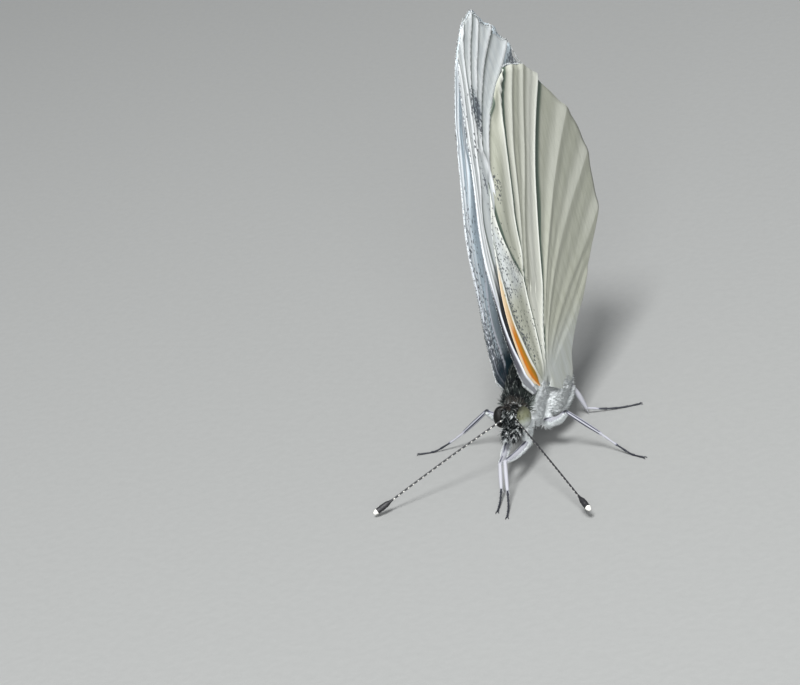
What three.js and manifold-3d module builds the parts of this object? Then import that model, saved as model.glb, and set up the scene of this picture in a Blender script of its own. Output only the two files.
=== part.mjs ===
// A small white butterfly, life size, standing with its wings closed over its back.
// Millimetres, +Z up, the floor at z = 0. The head looks along -Y and the animal's left is +X.
// Every shape is built round the point midway between the two forewing hinges, and the whole
// group is then lifted so that the six feet lie on the floor.
import * as THREE from 'three';
import { mergeVertices } from 'three/addons/utils/BufferGeometryUtils.js';
import Module from 'manifold-3d';

// ---- driving dimensions -------------------------------------------------------------------
const HINGE_HEIGHT = 4.9;        // wing hinges above the floor
const HINGE_SETBACK = -3.6;      // puts the middle of the whole animal over the origin
const BODY_PITCH = 20;           // degrees the thorax points up towards the tail
const ABDOMEN_PITCH = 29;        // the abdomen is carried a little higher than that
const THORAX_END = 3.7;          // along the body from the hinges
const ABDOMEN_LENGTH = 9.9;
const FIT_GAP = 0.03;            // clearance between neighbouring solids
const WING_THICKNESS = 0.5;
const WING_SPACING = 0.54;       // forewing to hindwing, middle to middle
const FEELER_RADIUS = 0.25;
const FOOT_CENTRE = 0.22;        // height of a foot's middle line over the floor
const BODY_SIDES = 16;
const LIMB_SIDES = 7;

const LEFT = 1;
const RIGHT = -1;
const SIDES = [['left', LEFT], ['right', RIGHT]];
const FLOOR = -HINGE_HEIGHT;
const FOOT = FLOOR + FOOT_CENTRE;

const wasm = await Module();
wasm.setup();

// ---- materials ----------------------------------------------------------------------------
const finish = (color, roughness) => new THREE.MeshStandardMaterial({ color, roughness, metalness: 0 });
const MATERIALS = {
  whiteFur: () => finish(0xd9dad6, 0.9),
  darkFur: () => finish(0x5b5f5a, 0.9),
  wingUnder: () => finish(0xc9cabd, 0.75),
  wingUpper: () => finish(0xd2d4d6, 0.75),
  eye: () => finish(0x9a9a78, 0.3),
  feeler: () => finish(0x2a2a2c, 0.6),
  legWhite: () => finish(0xd0d2d6, 0.7),
  legDark: () => finish(0x2e2f33, 0.6),
};

// ---- solids -------------------------------------------------------------------------------
const vec = (x, y, z) => new THREE.Vector3(x, y, z);
const radians = THREE.MathUtils.degToRad;
const mix = THREE.MathUtils.lerp;

// Rings of equal count joined into one closed solid, with a fan over each end.
function loft(rings) {
  const count = rings[0].length;
  const points = rings.flat();
  const middle = (ring) => ring.reduce((sum, p) => sum.add(p), vec(0, 0, 0)).divideScalar(count);
  const faces = [];
  for (let r = 0; r + 1 < rings.length; r += 1) {
    for (let i = 0; i < count; i += 1) {
      const a = r * count + i;
      const b = r * count + ((i + 1) % count);
      faces.push(a, b, a + count, b, b + count, a + count);
    }
  }
  const first = points.push(middle(rings[0])) - 1;
  const last = points.push(middle(rings.at(-1))) - 1;
  const lastRing = (rings.length - 1) * count;
  for (let i = 0; i < count; i += 1) {
    const next = (i + 1) % count;
    faces.push(first, next, i, last, lastRing + i, lastRing + next);
  }
  return outward(points, faces);
}

// A geometry from points and faces, turned so that its faces look outwards.
function outward(points, faces) {
  let volume = 0;
  for (let i = 0; i < faces.length; i += 3) {
    const [a, b, c] = [0, 1, 2].map((k) => points[faces[i + k]]);
    volume += a.dot(vec(0, 0, 0).crossVectors(b, c));
  }
  if (volume < 0) faces.reverse();
  const geometry = new THREE.BufferGeometry();
  geometry.setAttribute('position', new THREE.Float32BufferAttribute(points.flatMap((p) => p.toArray()), 3));
  geometry.setIndex(faces);
  return geometry;
}

function toManifold(geometry) {
  const bare = geometry.clone();
  bare.deleteAttribute('normal');
  bare.deleteAttribute('uv');
  const merged = mergeVertices(bare, 1e-5);
  return new wasm.Manifold(new wasm.Mesh({
    numProp: 3,
    vertProperties: new Float32Array(merged.attributes.position.array),
    triVerts: new Uint32Array(merged.index.array),
  }));
}

// The geometry less each of the cutters, all given as geometries.
function cut(geometry, ...cutters) {
  const rest = cutters.reduce((body, cutter) => body.subtract(toManifold(cutter)), toManifold(geometry));
  const pieces = rest.decompose().sort((a, b) => b.volume() - a.volume());
  const mesh = pieces[0].getMesh();
  const result = new THREE.BufferGeometry();
  result.setAttribute('position', new THREE.BufferAttribute(new Float32Array(mesh.vertProperties), 3));
  result.setIndex([...mesh.triVerts]);
  return result;
}

// A tapered round limb along a path of [x, y, z, radius] stations, with softened ends. Whatever
// would sink under the floor is pressed flat on it.
function limb(stations, grow = 0) {
  const stops = stations.map(([x, y, z, radius]) => ({ at: vec(x, y, z), radius: radius + grow }));
  const along = stops.map((_, i) => {
    const before = stops[Math.max(i - 1, 0)].at;
    const after = stops[Math.min(i + 1, stops.length - 1)].at;
    return after.clone().sub(before).normalize();
  });
  const ring = (centre, direction, radius) => {
    const side = vec(0, 0, 1).cross(direction);
    if (side.length() < 0.1) side.set(1, 0, 0);
    side.normalize();
    const up = direction.clone().cross(side).normalize();
    return Array.from({ length: LIMB_SIDES }, (_, i) => {
      const turn = ((i + 0.5) / LIMB_SIDES) * 2 * Math.PI;
      const point = centre.clone()
        .addScaledVector(side, radius * Math.cos(turn))
        .addScaledVector(up, radius * Math.sin(turn));
      point.z = Math.max(point.z, FLOOR);
      return point;
    });
  };
  const END_STEP = 0.45;
  const END_TAPER = 0.62;
  const rings = stops.map(({ at, radius }, i) => ring(at, along[i], radius));
  const start = stops[0];
  const end = stops.at(-1);
  const startCap = start.at.clone().addScaledVector(along[0], -END_STEP * start.radius);
  const endCap = end.at.clone().addScaledVector(along.at(-1), END_STEP * end.radius);
  rings.unshift(ring(startCap, along[0], END_TAPER * start.radius));
  rings.push(ring(endCap, along.at(-1), END_TAPER * end.radius));
  return loft(rings);
}

const mirrored = (stations, side) => stations.map(([x, ...rest]) => [x * side, ...rest]);

// ---- trunk --------------------------------------------------------------------------------
// A point of the trunk from its distance along the body, its height and its place sideways. The
// body line bends up where the abdomen begins.
function bodyPoint(across, along, height) {
  const thoraxPart = Math.min(along, THORAX_END);
  const abdomenPart = Math.max(along - THORAX_END, 0);
  const pitch = radians(mix(BODY_PITCH, ABDOMEN_PITCH, THREE.MathUtils.smoothstep(along, 3, 5)));
  const y = thoraxPart * Math.cos(radians(BODY_PITCH)) + abdomenPart * Math.cos(radians(ABDOMEN_PITCH));
  const z = thoraxPart * Math.sin(radians(BODY_PITCH)) + abdomenPart * Math.sin(radians(ABDOMEN_PITCH));
  return vec(across, y - height * Math.sin(pitch), z + height * Math.cos(pitch));
}

// Outline of the thorax: distance along the body, top, bottom and half width.
const THORAX_OUTLINE = [
  [-1.45, -0.35, -1.75, 0.75],
  [-1.15, -0.02, -2.15, 1.08],
  [-0.65, 0.32, -2.55, 1.36],
  [0.2, 0.62, -2.9, 1.58],
  [1.2, 0.72, -3.0, 1.66],
  [2.2, 0.58, -2.9, 1.58],
  [3.1, 0.28, -2.6, 1.36],
  [THORAX_END, -0.1, -2.25, 1.12],
];

// The abdomen is a spindle, fullest a third of the way along.
const ABDOMEN_SHAPE = { waist: 0.92, girth: 1.12, fullest: 0.36, tip: 0.34 };
function abdomenRadius(t) {
  const { waist, girth, fullest, tip } = ABDOMEN_SHAPE;
  if (t < fullest) return mix(waist, girth, Math.sin((t / fullest) * (Math.PI / 2)));
  const rest = (t - fullest) / (1 - fullest);
  return mix(tip, girth, Math.sqrt(Math.max(1 - rest ** 2.4, 0)));
}
const abdomenMiddle = (t) => mix(-1.18, -0.75, t);

function trunkSize(along) {
  if (along > THORAX_END) {
    const t = (along - THORAX_END) / ABDOMEN_LENGTH;
    return { middle: abdomenMiddle(t), half: abdomenRadius(t), wide: abdomenRadius(t) * 0.96 };
  }
  const next = Math.max(1, THORAX_OUTLINE.findIndex(([s]) => s >= along));
  const [s0, top0, low0, wide0] = THORAX_OUTLINE[next - 1];
  const [s1, top1, low1, wide1] = THORAX_OUTLINE[next];
  const t = (along - s0) / (s1 - s0);
  const [top, low, wide] = [mix(top0, top1, t), mix(low0, low1, t), mix(wide0, wide1, t)];
  return { middle: (top + low) / 2, half: (top - low) / 2, wide };
}

// One length of the trunk, between two places along the body, grown for use as a cutter.
function trunkLength(from, to, steps, grow = 0) {
  const rings = Array.from({ length: steps + 1 }, (_, r) => {
    const along = mix(from, to, r / steps);
    const { middle, half, wide } = trunkSize(along);
    return Array.from({ length: BODY_SIDES }, (_, i) => {
      const turn = (i / BODY_SIDES) * 2 * Math.PI;
      const across = (wide + grow) * Math.cos(turn);
      return bodyPoint(across, along, middle + (half + grow) * Math.sin(turn));
    });
  });
  return loft(rings);
}

const THORAX_START = THORAX_OUTLINE[0][0];
const PROTHORAX_END = -0.95;
const MESOTHORAX_END = 2.55;
const ABDOMEN_CUTS = [0, 0.27, 0.54, 0.8, 1];
const abdomenAt = (t) => THORAX_END + t * ABDOMEN_LENGTH;
const thoraxCutter = () => trunkLength(THORAX_START, THORAX_END, 14, FIT_GAP);
const abdomenCutter = () => trunkLength(THORAX_END + FIT_GAP, abdomenAt(1), 12, FIT_GAP);

// ---- head ---------------------------------------------------------------------------------
// The head is held a little to the animal's left.
const HEAD_SHIFT = 0.2;
const HEAD = { centre: vec(HEAD_SHIFT, -2.02, -1.2), size: vec(0.84, 0.72, 0.9) };
const EYE = { across: 0.8, y: -2.06, z: -1.16, size: vec(0.46, 0.62, 0.72) };
const ball = (centre, size, grow = 0, across = 12, rows = 9) => {
  const geometry = new THREE.SphereGeometry(1, across, rows);
  geometry.scale(size.x + grow, size.y + grow, size.z + grow);
  geometry.translate(centre.x, centre.y, centre.z);
  return geometry;
};
const eyeBall = (side, grow = 0) => ball(vec(HEAD_SHIFT + side * EYE.across, EYE.y, EYE.z), EYE.size, grow);
const headBall = (grow = 0) => ball(HEAD.centre, HEAD.size, grow);

const PALP = [
  [0.4, -2.2, -1.95, 0.27],
  [0.36, -2.75, -2.12, 0.29],
  [0.3, -3.1, -2.2, 0.25],
];
const PROBOSCIS = { centre: vec(HEAD_SHIFT, -2.5, -2.38), coil: 0.27, tube: 0.14, half: 0.15 };
function proboscisCoil(grow = 0) {
  const { coil, tube, half } = PROBOSCIS;
  const [inner, outer, side] = [Math.max(coil - tube - grow, 0.05), coil + tube + grow, half + grow];
  const profile = [[inner, -side], [outer, -side], [outer, side], [inner, side], [inner, -side]];
  const geometry = new THREE.LatheGeometry(profile.map(([r, h]) => new THREE.Vector2(r, h)), 18);
  geometry.rotateZ(Math.PI / 2);
  geometry.translate(PROBOSCIS.centre.x, PROBOSCIS.centre.y, PROBOSCIS.centre.z);
  return geometry;
}

// ---- feelers ------------------------------------------------------------------------------
const FEELER = { root: [0.28, -2.4, -1.0], bow: 0.08, clubStart: 0.84, clubRadius: 0.32 };
const FEELER_TIPS = { left: [7.3, -8.3, -4.15], right: [7.4, -8.75, -4.55] };
function feelerPoint(name, side, t) {
  const [x, y, z] = FEELER.root.map((root, axis) => mix(root, FEELER_TIPS[name][axis], t));
  return [x * side + HEAD_SHIFT * (1 - t), y, z + FEELER.bow * Math.sin(Math.PI * t)];
}
function feelerPiece(name, side, from, to, steps, radiusAt) {
  return limb(Array.from({ length: steps + 1 }, (_, i) => {
    const t = mix(from, to, i / steps);
    return [...feelerPoint(name, side, t), radiusAt(i / steps)];
  }));
}
const clubRadius = (t) => mix(FEELER_RADIUS, FEELER.clubRadius, Math.sin(Math.PI * Math.min(t * 1.15, 1)));

// ---- wings --------------------------------------------------------------------------------
// Each wing is a fan round its base. The margin is a smooth curve through the places that its
// veins reach, each given as [y, z] from the hinge, from the leading edge round to the trailing
// edge.
const FOREWING = {
  base: [0.35, -0.1],
  margin: [
    [-0.45, 0.2], [-1.15, 2.2], [-1.5, 5.2], [-1.4, 9.6], [-0.75, 14.2], [0.45, 19.2], [1.7, 22.2],
    [3.0, 23.75], [4.4, 24.1], [5.5, 23.4], [7.0, 21.6], [9.1, 18.9], [11.6, 15.1], [13.8, 11.6],
    [14.2, 10.3], [13.3, 9.1], [9.0, 5.3], [4.6, 2.3], [1.6, 0.4],
  ],
};
const HINDWING = {
  base: [1.5, -0.7],
  margin: [
    [0.35, -0.5], [-0.4, 0.8], [-1.15, 2.6], [-1.45, 4.4], [-1.45, 6.4], [-1.15, 8.2], [-0.6, 10.2],
    [0.65, 12.9], [2.2, 15.8], [4.3, 18.25], [6.6, 19.3], [8.6, 19.0], [10.4, 18.1], [12.6, 15.8],
    [14.6, 13.1], [15.8, 10.4], [16.1, 8.0], [15.5, 5.7], [14.2, 4.5], [11.0, 2.6], [8.0, 1.0],
    [5.4, -0.9], [3.2, -1.7],
  ],
};
const FOREWING_STEPS = 28;
const HINDWING_STEPS = 33;
const WING_RINGS = 5;
const RING_CROWDING = 1.6;       // the rings lie closer together near the root
const HINDWING_RIDGE = 0.07;     // height of the vein ridges on the hindwing's outer face
const HINDWING_RIDGES = 9;

// How far a forewing's middle sheet stands off the body's middle plane at a height: the hinges
// are wide apart and the two wings close together towards their tips.
const wingStandoff = (z) => 0.16 + 1.0 * Math.exp(-Math.max(z, 0) / 11.5);

// The hindwing lies outside the forewing and comes in to the side of the thorax at its root.
const HINDWING_ROOT = { y: 2.3, z: -0.7, near: 0.2, far: 1.2 };
function hindwingStandoff(y, z) {
  const { near, far } = HINDWING_ROOT;
  const away = Math.hypot(y - HINDWING_ROOT.y, z - HINDWING_ROOT.z);
  return wingStandoff(z) + WING_SPACING * THREE.MathUtils.smoothstep(away, near, far);
}

// A wing slab: a fan of rings from the base to the margin on each face, and a rim round them.
function wing(plan, steps, side, standoff, ridge, grow = 0) {
  const curve = new THREE.CatmullRomCurve3(plan.margin.map(([y, z]) => vec(0, y, z)), false, 'centripetal');
  const margin = curve.getSpacedPoints(steps);
  const base = vec(0, ...plan.base);
  const points = [];
  const faces = [];
  const addFace = (face) => {
    const start = points.length;
    margin.forEach((edge, m) => {
      for (let r = 0; r <= WING_RINGS; r += 1) {
        const reach = mix(0.04, 1, (r / WING_RINGS) ** RING_CROWDING);
        const p = base.clone().lerp(edge, reach);
        const thickness = WING_THICKNESS / 2 + grow + ridge(m / steps, reach, face);
        const x = standoff(p.y, p.z) + face * thickness;
        points.push(vec(side * x, p.y, p.z));
      }
    });
    return start;
  };
  const inner = addFace(-1);
  const outer = addFace(1);
  const row = WING_RINGS + 1;
  const quad = (a, b, c, d) => faces.push(a, b, c, a, c, d);
  for (let m = 0; m < steps; m += 1) {
    for (let r = 0; r < WING_RINGS; r += 1) {
      const k = m * row + r;
      quad(outer + k, outer + k + 1, outer + k + row + 1, outer + k + row);
      quad(inner + k, inner + k + row, inner + k + row + 1, inner + k + 1);
    }
    const tip = m * row + WING_RINGS;
    quad(outer + tip, inner + tip, inner + tip + row, outer + tip + row);
    const root = m * row;
    quad(outer + root, outer + root + row, inner + root + row, inner + root);
  }
  for (let r = 0; r < WING_RINGS; r += 1) {
    const end = steps * row + r;
    quad(outer + r, inner + r, inner + r + 1, outer + r + 1);
    quad(outer + end, outer + end + 1, inner + end + 1, inner + end);
  }
  return outward(points, faces);
}

const smooth = () => 0;
const fanRidges = (m, reach, face) => {
  if (face < 0) return 0;
  const wave = 0.5 - 0.5 * Math.cos(2 * Math.PI * HINDWING_RIDGES * m);
  return HINDWING_RIDGE * wave * THREE.MathUtils.smoothstep(reach, 0.1, 0.6);
};
const forewingStandoff = (y, z) => wingStandoff(z);
const forewing = (side, grow) => wing(FOREWING, FOREWING_STEPS, side, forewingStandoff, smooth, grow);
const hindwing = (side) => wing(HINDWING, HINDWING_STEPS, side, hindwingStandoff, fanRidges);

// ---- legs ---------------------------------------------------------------------------------
// Stations of each leg's pieces, as [x, y, z, radius], for the left side. Each piece starts where
// the one before it ends.
const LEGS = {
  foreleg: {
    coxa: [[0.62, -0.85, -1.9, 0.42], [0.76, -1.95, -3.2, 0.31]],
    femur: [[0.74, -3.6, -3.02, 0.31], [0.68, -5.25, -2.66, 0.26]],
    tibia: [[1.05, -6.45, -4.0, 0.25]],
    tarsus: [[1.4, -7.4, FOOT, 0.25], [1.65, -8.4, FOOT, 0.25]],
  },
  midleg: {
    coxa: [[0.75, 1.35, -2.1, 0.5], [0.98, 0.85, -3.4, 0.36]],
    femur: [[1.95, 0.55, -2.72, 0.32], [2.82, 0.34, -2.02, 0.27]],
    tibia: [[4.9, 0.44, -3.69, 0.25]],
    tarsus: [[6.2, 0.1, -4.42, 0.25], [7.1, -0.2, FOOT, 0.25], [8.0, -0.55, FOOT, 0.25]],
  },
  hindleg: {
    coxa: [[0.72, 3.1, -1.6, 0.5], [0.95, 2.75, -3.25, 0.36]],
    femur: [[1.25, 4.0, -2.85, 0.34], [1.42, 5.2, -2.32, 0.27]],
    tibia: [[1.88, 5.3, -4.42, 0.25]],
    tarsus: [[3.0, 5.75, FOOT, 0.25], [4.2, 6.25, FOOT, 0.25], [5.1, 6.7, FOOT, 0.25]],
  },
};
// The right foreleg reaches across to stand beside the left one.
const RIGHT_FORELEG = {
  coxa: [[0.62, -0.85, -1.9, 0.42], [0.62, -1.95, -3.25, 0.31]],
  femur: [[0.3, -3.4, -3.3, 0.3], [-0.05, -4.8, -3.1, 0.26]],
  tibia: [[-0.3, -5.8, -4.25, 0.25]],
  tarsus: [[-0.5, -6.7, FOOT, 0.25], [-0.72, -7.75, FOOT, 0.25]],
};
const LEG_FINISH = { coxa: 'whiteFur', femur: 'legWhite', tibia: 'legWhite', tarsus: 'legDark' };

function addLeg(name, side, leg, pieces, bodyCutters) {
  let start = [];
  let cutters = bodyCutters;
  for (const [piece, stops] of Object.entries(pieces)) {
    const stations = mirrored([...start, ...stops], side);
    add(`${leg}_${piece}_${name}`, cut(limb(stations), ...cutters), LEG_FINISH[piece]);
    cutters = [...bodyCutters.slice(0, 1), limb(stations, FIT_GAP)];
    start = [stops.at(-1)];
  }
}

// ---- assembly -----------------------------------------------------------------------------
const butterfly = new THREE.Group();
butterfly.position.set(0, HINGE_SETBACK, HINGE_HEIGHT);

function add(name, geometry, material) {
  const flat = geometry.index ? geometry.toNonIndexed() : geometry;
  flat.deleteAttribute('normal');
  flat.deleteAttribute('uv');
  const merged = mergeVertices(flat, 1e-5);
  merged.computeVertexNormals();
  const mesh = new THREE.Mesh(merged, MATERIALS[material]());
  mesh.name = name;
  butterfly.add(mesh);
}

const half = FIT_GAP / 2;
const thorax = thoraxCutter();
const abdomen = abdomenCutter();
const headGrown = headBall(FIT_GAP);
const eyesGrown = SIDES.map(([, side]) => eyeBall(side, FIT_GAP));

add('prothorax', cut(trunkLength(THORAX_START, PROTHORAX_END - half, 4), headGrown, ...eyesGrown), 'darkFur');
add('mesothorax', cut(trunkLength(PROTHORAX_END + half, MESOTHORAX_END - half, 8), ...eyesGrown), 'darkFur');
add('metathorax', trunkLength(MESOTHORAX_END + half, THORAX_END - half, 4), 'whiteFur');
['base', 'middle', 'rear', 'tip'].forEach((part, i) => {
  const [from, to] = [abdomenAt(ABDOMEN_CUTS[i]), abdomenAt(ABDOMEN_CUTS[i + 1])];
  add(`abdomen_${part}`, trunkLength(from + half, to - half, 4), 'whiteFur');
});

add('head', cut(headBall(), ...eyesGrown), 'whiteFur');
for (const [name, side] of SIDES) {
  add(`eye_${name}`, eyeBall(side), 'eye');
}
add('proboscis', cut(proboscisCoil(), headGrown), 'feeler');
for (const [name, side] of SIDES) {
  const palp = limb(mirrored(PALP, side).map(([x, ...rest]) => [x + HEAD_SHIFT, ...rest]));
  add(`palp_${name}`, cut(palp, headGrown, ...eyesGrown, proboscisCoil(FIT_GAP)), 'whiteFur');
  const clubGap = 0.012;
  const shaft = feelerPiece(name, side, 0, FEELER.clubStart - clubGap * 2.2, 6, () => FEELER_RADIUS);
  add(`antenna_${name}`, cut(shaft, headGrown, ...eyesGrown), 'feeler');
  add(`antenna_club_${name}`, feelerPiece(name, side, FEELER.clubStart, 1, 5, clubRadius), 'feeler');
}

for (const [name, side] of SIDES) {
  add(`forewing_${name}`, cut(forewing(side), thorax, abdomen), 'wingUpper');
  add(`hindwing_${name}`, cut(hindwing(side), thorax, abdomen), 'wingUnder');
}

for (const [name, side] of SIDES) {
  for (const [leg, pieces] of Object.entries(LEGS)) {
    const reaching = leg === 'foreleg' && side === RIGHT;
    addLeg(name, side, leg, reaching ? RIGHT_FORELEG : pieces, [thorax, headGrown, ...eyesGrown]);
  }
}

export default butterfly;
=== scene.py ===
import math

import bmesh
import bpy
import numpy as np
from mathutils import Matrix, Vector


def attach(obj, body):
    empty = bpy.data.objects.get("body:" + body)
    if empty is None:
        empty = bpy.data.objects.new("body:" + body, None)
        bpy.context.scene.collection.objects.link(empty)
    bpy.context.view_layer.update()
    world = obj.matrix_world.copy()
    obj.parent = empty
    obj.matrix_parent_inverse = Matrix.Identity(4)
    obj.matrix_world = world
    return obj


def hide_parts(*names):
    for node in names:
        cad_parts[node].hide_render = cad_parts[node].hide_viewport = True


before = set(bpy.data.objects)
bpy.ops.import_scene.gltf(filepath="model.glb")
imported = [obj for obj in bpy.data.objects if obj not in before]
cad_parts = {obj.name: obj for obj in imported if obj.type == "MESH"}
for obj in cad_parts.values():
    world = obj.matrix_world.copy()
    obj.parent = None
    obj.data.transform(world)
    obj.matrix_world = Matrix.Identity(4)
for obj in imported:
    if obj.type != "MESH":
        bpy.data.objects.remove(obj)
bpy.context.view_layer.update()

# ---- camera -------------------------------------------------------------------------------
# A long lens a hand's breadth away, in front of the animal, a little to its left and above it.
# It is rolled, so that the wings lean to the left of the view.
HINGE = Vector((0, -0.0036, 0.0049))  # midway between the two forewing hinges
CAMERA_AZIMUTH, CAMERA_HEIGHT, CAMERA_ROLL = (math.radians(angle) for angle in (27.6, 24.9, 12.4))
CAMERA_DISTANCE = 0.170
VIEW_WIDTH, VIEW_HEIGHT = 800, 685
FOCAL_PIXELS = 2635
HINGE_PIXEL = (518, 386)
SENSOR_WIDTH = 36
CLIP_START = 0.005

to_camera = Vector((math.sin(CAMERA_AZIMUTH) * math.cos(CAMERA_HEIGHT),
                    -math.cos(CAMERA_AZIMUTH) * math.cos(CAMERA_HEIGHT), math.sin(CAMERA_HEIGHT)))
level = Vector((math.cos(CAMERA_AZIMUTH), math.sin(CAMERA_AZIMUTH), 0))
upward = to_camera.cross(level)
turned = Matrix((level * math.cos(CAMERA_ROLL) - upward * math.sin(CAMERA_ROLL),
                 level * math.sin(CAMERA_ROLL) + upward * math.cos(CAMERA_ROLL), to_camera)).transposed()
aim = Vector((HINGE_PIXEL[0] - VIEW_WIDTH / 2, VIEW_HEIGHT / 2 - HINGE_PIXEL[1], -FOCAL_PIXELS))
swing = (turned @ aim.normalized()).rotation_difference(-to_camera)
bpy.ops.object.camera_add()
camera = bpy.context.object
camera.matrix_world = (Matrix.Translation(HINGE + CAMERA_DISTANCE * to_camera)
                       @ (swing.to_matrix() @ turned).to_4x4())
camera.data.sensor_width = SENSOR_WIDTH
camera.data.lens = FOCAL_PIXELS / VIEW_WIDTH * SENSOR_WIDTH
camera.data.clip_start = CLIP_START
bpy.context.scene.camera = camera


# ---- floor and light ----------------------------------------------------------------------
# A plain pale floor of matt card, a soft lamp above and a broader one in front, and pale walls
# all round.
class Tone:
    """A number in a finish's nodes. Python's own operators on it add the Math nodes."""

    def __init__(self, finish, socket):
        self.finish, self.socket = finish, socket

    def math(self, operation, *values):
        return self.finish.node("ShaderNodeMath", {"operation": operation}, dict(enumerate(values)))

    def __add__(self, other):
        return self.math("ADD", self, other)

    def __mul__(self, other):
        return self.math("MULTIPLY", self, other)

    def __sub__(self, other):
        return self.math("SUBTRACT", self, other)

    def __rsub__(self, other):
        return self.math("SUBTRACT", other, self)

    def __gt__(self, other):
        return self.math("GREATER_THAN", self, other)

    __radd__, __rmul__ = __add__, __mul__

    def rise(self, low, high):
        """0 below low, 1 above high, and a soft step between them."""
        return self.finish.node("ShaderNodeMapRange", {"interpolation_type": "SMOOTHSTEP"},
                                {"Value": self, "From Min": low, "From Max": high})


class Finish:
    """A material and its nodes. What is the same all over is set on the shader's own sockets."""

    def __init__(self, name, **shader):
        self.material = bpy.data.materials.new(name)
        self.material.use_nodes = True
        self.shader = self.material.node_tree.nodes["Principled BSDF"]
        for socket, value in shader.items():
            self.shader.inputs[socket.replace("_", " ")].default_value = value

    def feed(self, socket, value):
        if isinstance(value, Tone):
            self.material.node_tree.links.new(value.socket, socket)
        else:
            socket.default_value = value

    def node(self, kind, settings=None, sockets=None, output=0):
        node = self.material.node_tree.nodes.new(kind)
        for name, value in (settings or {}).items():
            if name == "stops":
                ramp = node.color_ramp
                while len(ramp.elements) < len(value):
                    ramp.elements.new(1)
                for element, (position, colour) in zip(ramp.elements, value):
                    element.position, element.color = position, (*colour, 1)
            else:
                setattr(node, name, value)
        for name, value in (sockets or {}).items():
            self.feed(node.inputs[name], value)
        return Tone(self, node.outputs[output])

    def place(self):
        return self.node("ShaderNodeTexCoord", output="Object")

    def mark(self, name):
        """A number that the mesh carries at each of its points."""
        return self.node("ShaderNodeAttribute", {"attribute_name": name}, output="Fac")

    def cloud(self, size, detail=2.0, stretch=(1, 1, 1)):
        """Soft blotches about size metres across, drawn out where stretch is under 1."""
        place = self.node("ShaderNodeMapping", {}, {"Vector": self.place(), "Scale": stretch})
        return self.node("ShaderNodeTexNoise", {}, {"Vector": place, "Scale": 1 / size, "Detail": detail})

    def blend(self, share, first, second):
        colours = [c if isinstance(c, Tone) else (*c, 1) for c in (first, second)]
        return self.node("ShaderNodeMix", {"data_type": "RGBA"},
                         {0: share, 6: colours[0], 7: colours[1]}, output=2)

    def ramp(self, tone, stops):
        return self.node("ShaderNodeValToRGB", {"stops": stops}, {"Fac": tone})

    def wear(self, **channels):
        """Feeds the shader's sockets that vary over the surface."""
        for name, value in channels.items():
            self.feed(self.shader.inputs[name.replace("_", " ")], value)
        return self.material

    def relief(self, height, depth):
        return self.node("ShaderNodeBump", {}, {"Height": height, "Distance": depth, "Strength": 1.0})


FLOOR_HALF = 1.5
card = Finish("floor_card", Roughness=0.9)
card_grain = card.cloud(0.0006)
bpy.ops.mesh.primitive_plane_add(size=2 * FLOOR_HALF)
floor = bpy.context.object
floor.name = "floor"
floor.data.materials.append(card.wear(
    Base_Color=card.blend(card_grain, (0.27, 0.275, 0.27), (0.29, 0.295, 0.29)),
    Normal=card.relief(card_grain, 0.00002)))

# The upper lamp and the front one: direction from the animal, distance, size and power.
LAMPS = [((0.16, -0.46, 0.87), 0.45, 0.14, 2.9), ((0.42, -0.82, 0.36), 0.6, 0.3, 2.5)]
WALL_COLOUR, WALL_LIGHT = (0.93, 0.96, 1.0), 0.33
for direction, distance, size, power in LAMPS:
    direction = Vector(direction).normalized()
    bpy.ops.object.light_add(type="AREA", location=HINGE + direction * distance)
    lamp = bpy.context.object
    lamp.rotation_euler = direction.to_track_quat("Z", "Y").to_euler()
    lamp.data.size, lamp.data.energy = size, power
bpy.context.scene.world = bpy.data.worlds.new("pale_room")
bpy.context.scene.world.use_nodes = True
walls = bpy.context.scene.world.node_tree.nodes["Background"].inputs
walls["Color"].default_value, walls["Strength"].default_value = (*WALL_COLOUR, 1), WALL_LIGHT
bpy.context.scene.view_settings.view_transform = "Standard"


# ---- body ---------------------------------------------------------------------------------
# Head, thorax, abdomen, palps and the first joints of the legs are one soft-looking skin. Under
# the coat it is thin horn in rings; here it lies inside the body's outline by the coat's depth.
# All pieces are modelled in millimetres about the wing hinges and set in the frame at the end.
BODY_PITCH, ABDOMEN_PITCH = math.radians(20), math.radians(29)
THORAX_END, ABDOMEN_LENGTH = 3.7, 9.9
COAT_DEPTH, SCALE_DEPTH = 0.34, 0.1  # over the thorax, and under the abdomen's flat scales
SKIN_VOXEL = 0.075
ALL_SMOOTHING, FLANK_SMOOTHING = 5, 170  # passes over the skin, and over its sides
# Distance along the body, top, bottom and half width.
THORAX_OUTLINE = np.array([
    [-1.3, -0.25, -1.9, 0.85], [-1.15, -0.02, -2.15, 1.08], [-0.65, 0.32, -2.55, 1.36],
    [0.2, 0.62, -2.9, 1.58], [1.2, 0.72, -3.0, 1.66], [2.2, 0.58, -2.9, 1.58],
    [3.1, 0.28, -2.6, 1.36], [THORAX_END, -0.1, -2.25, 1.12]])
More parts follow.
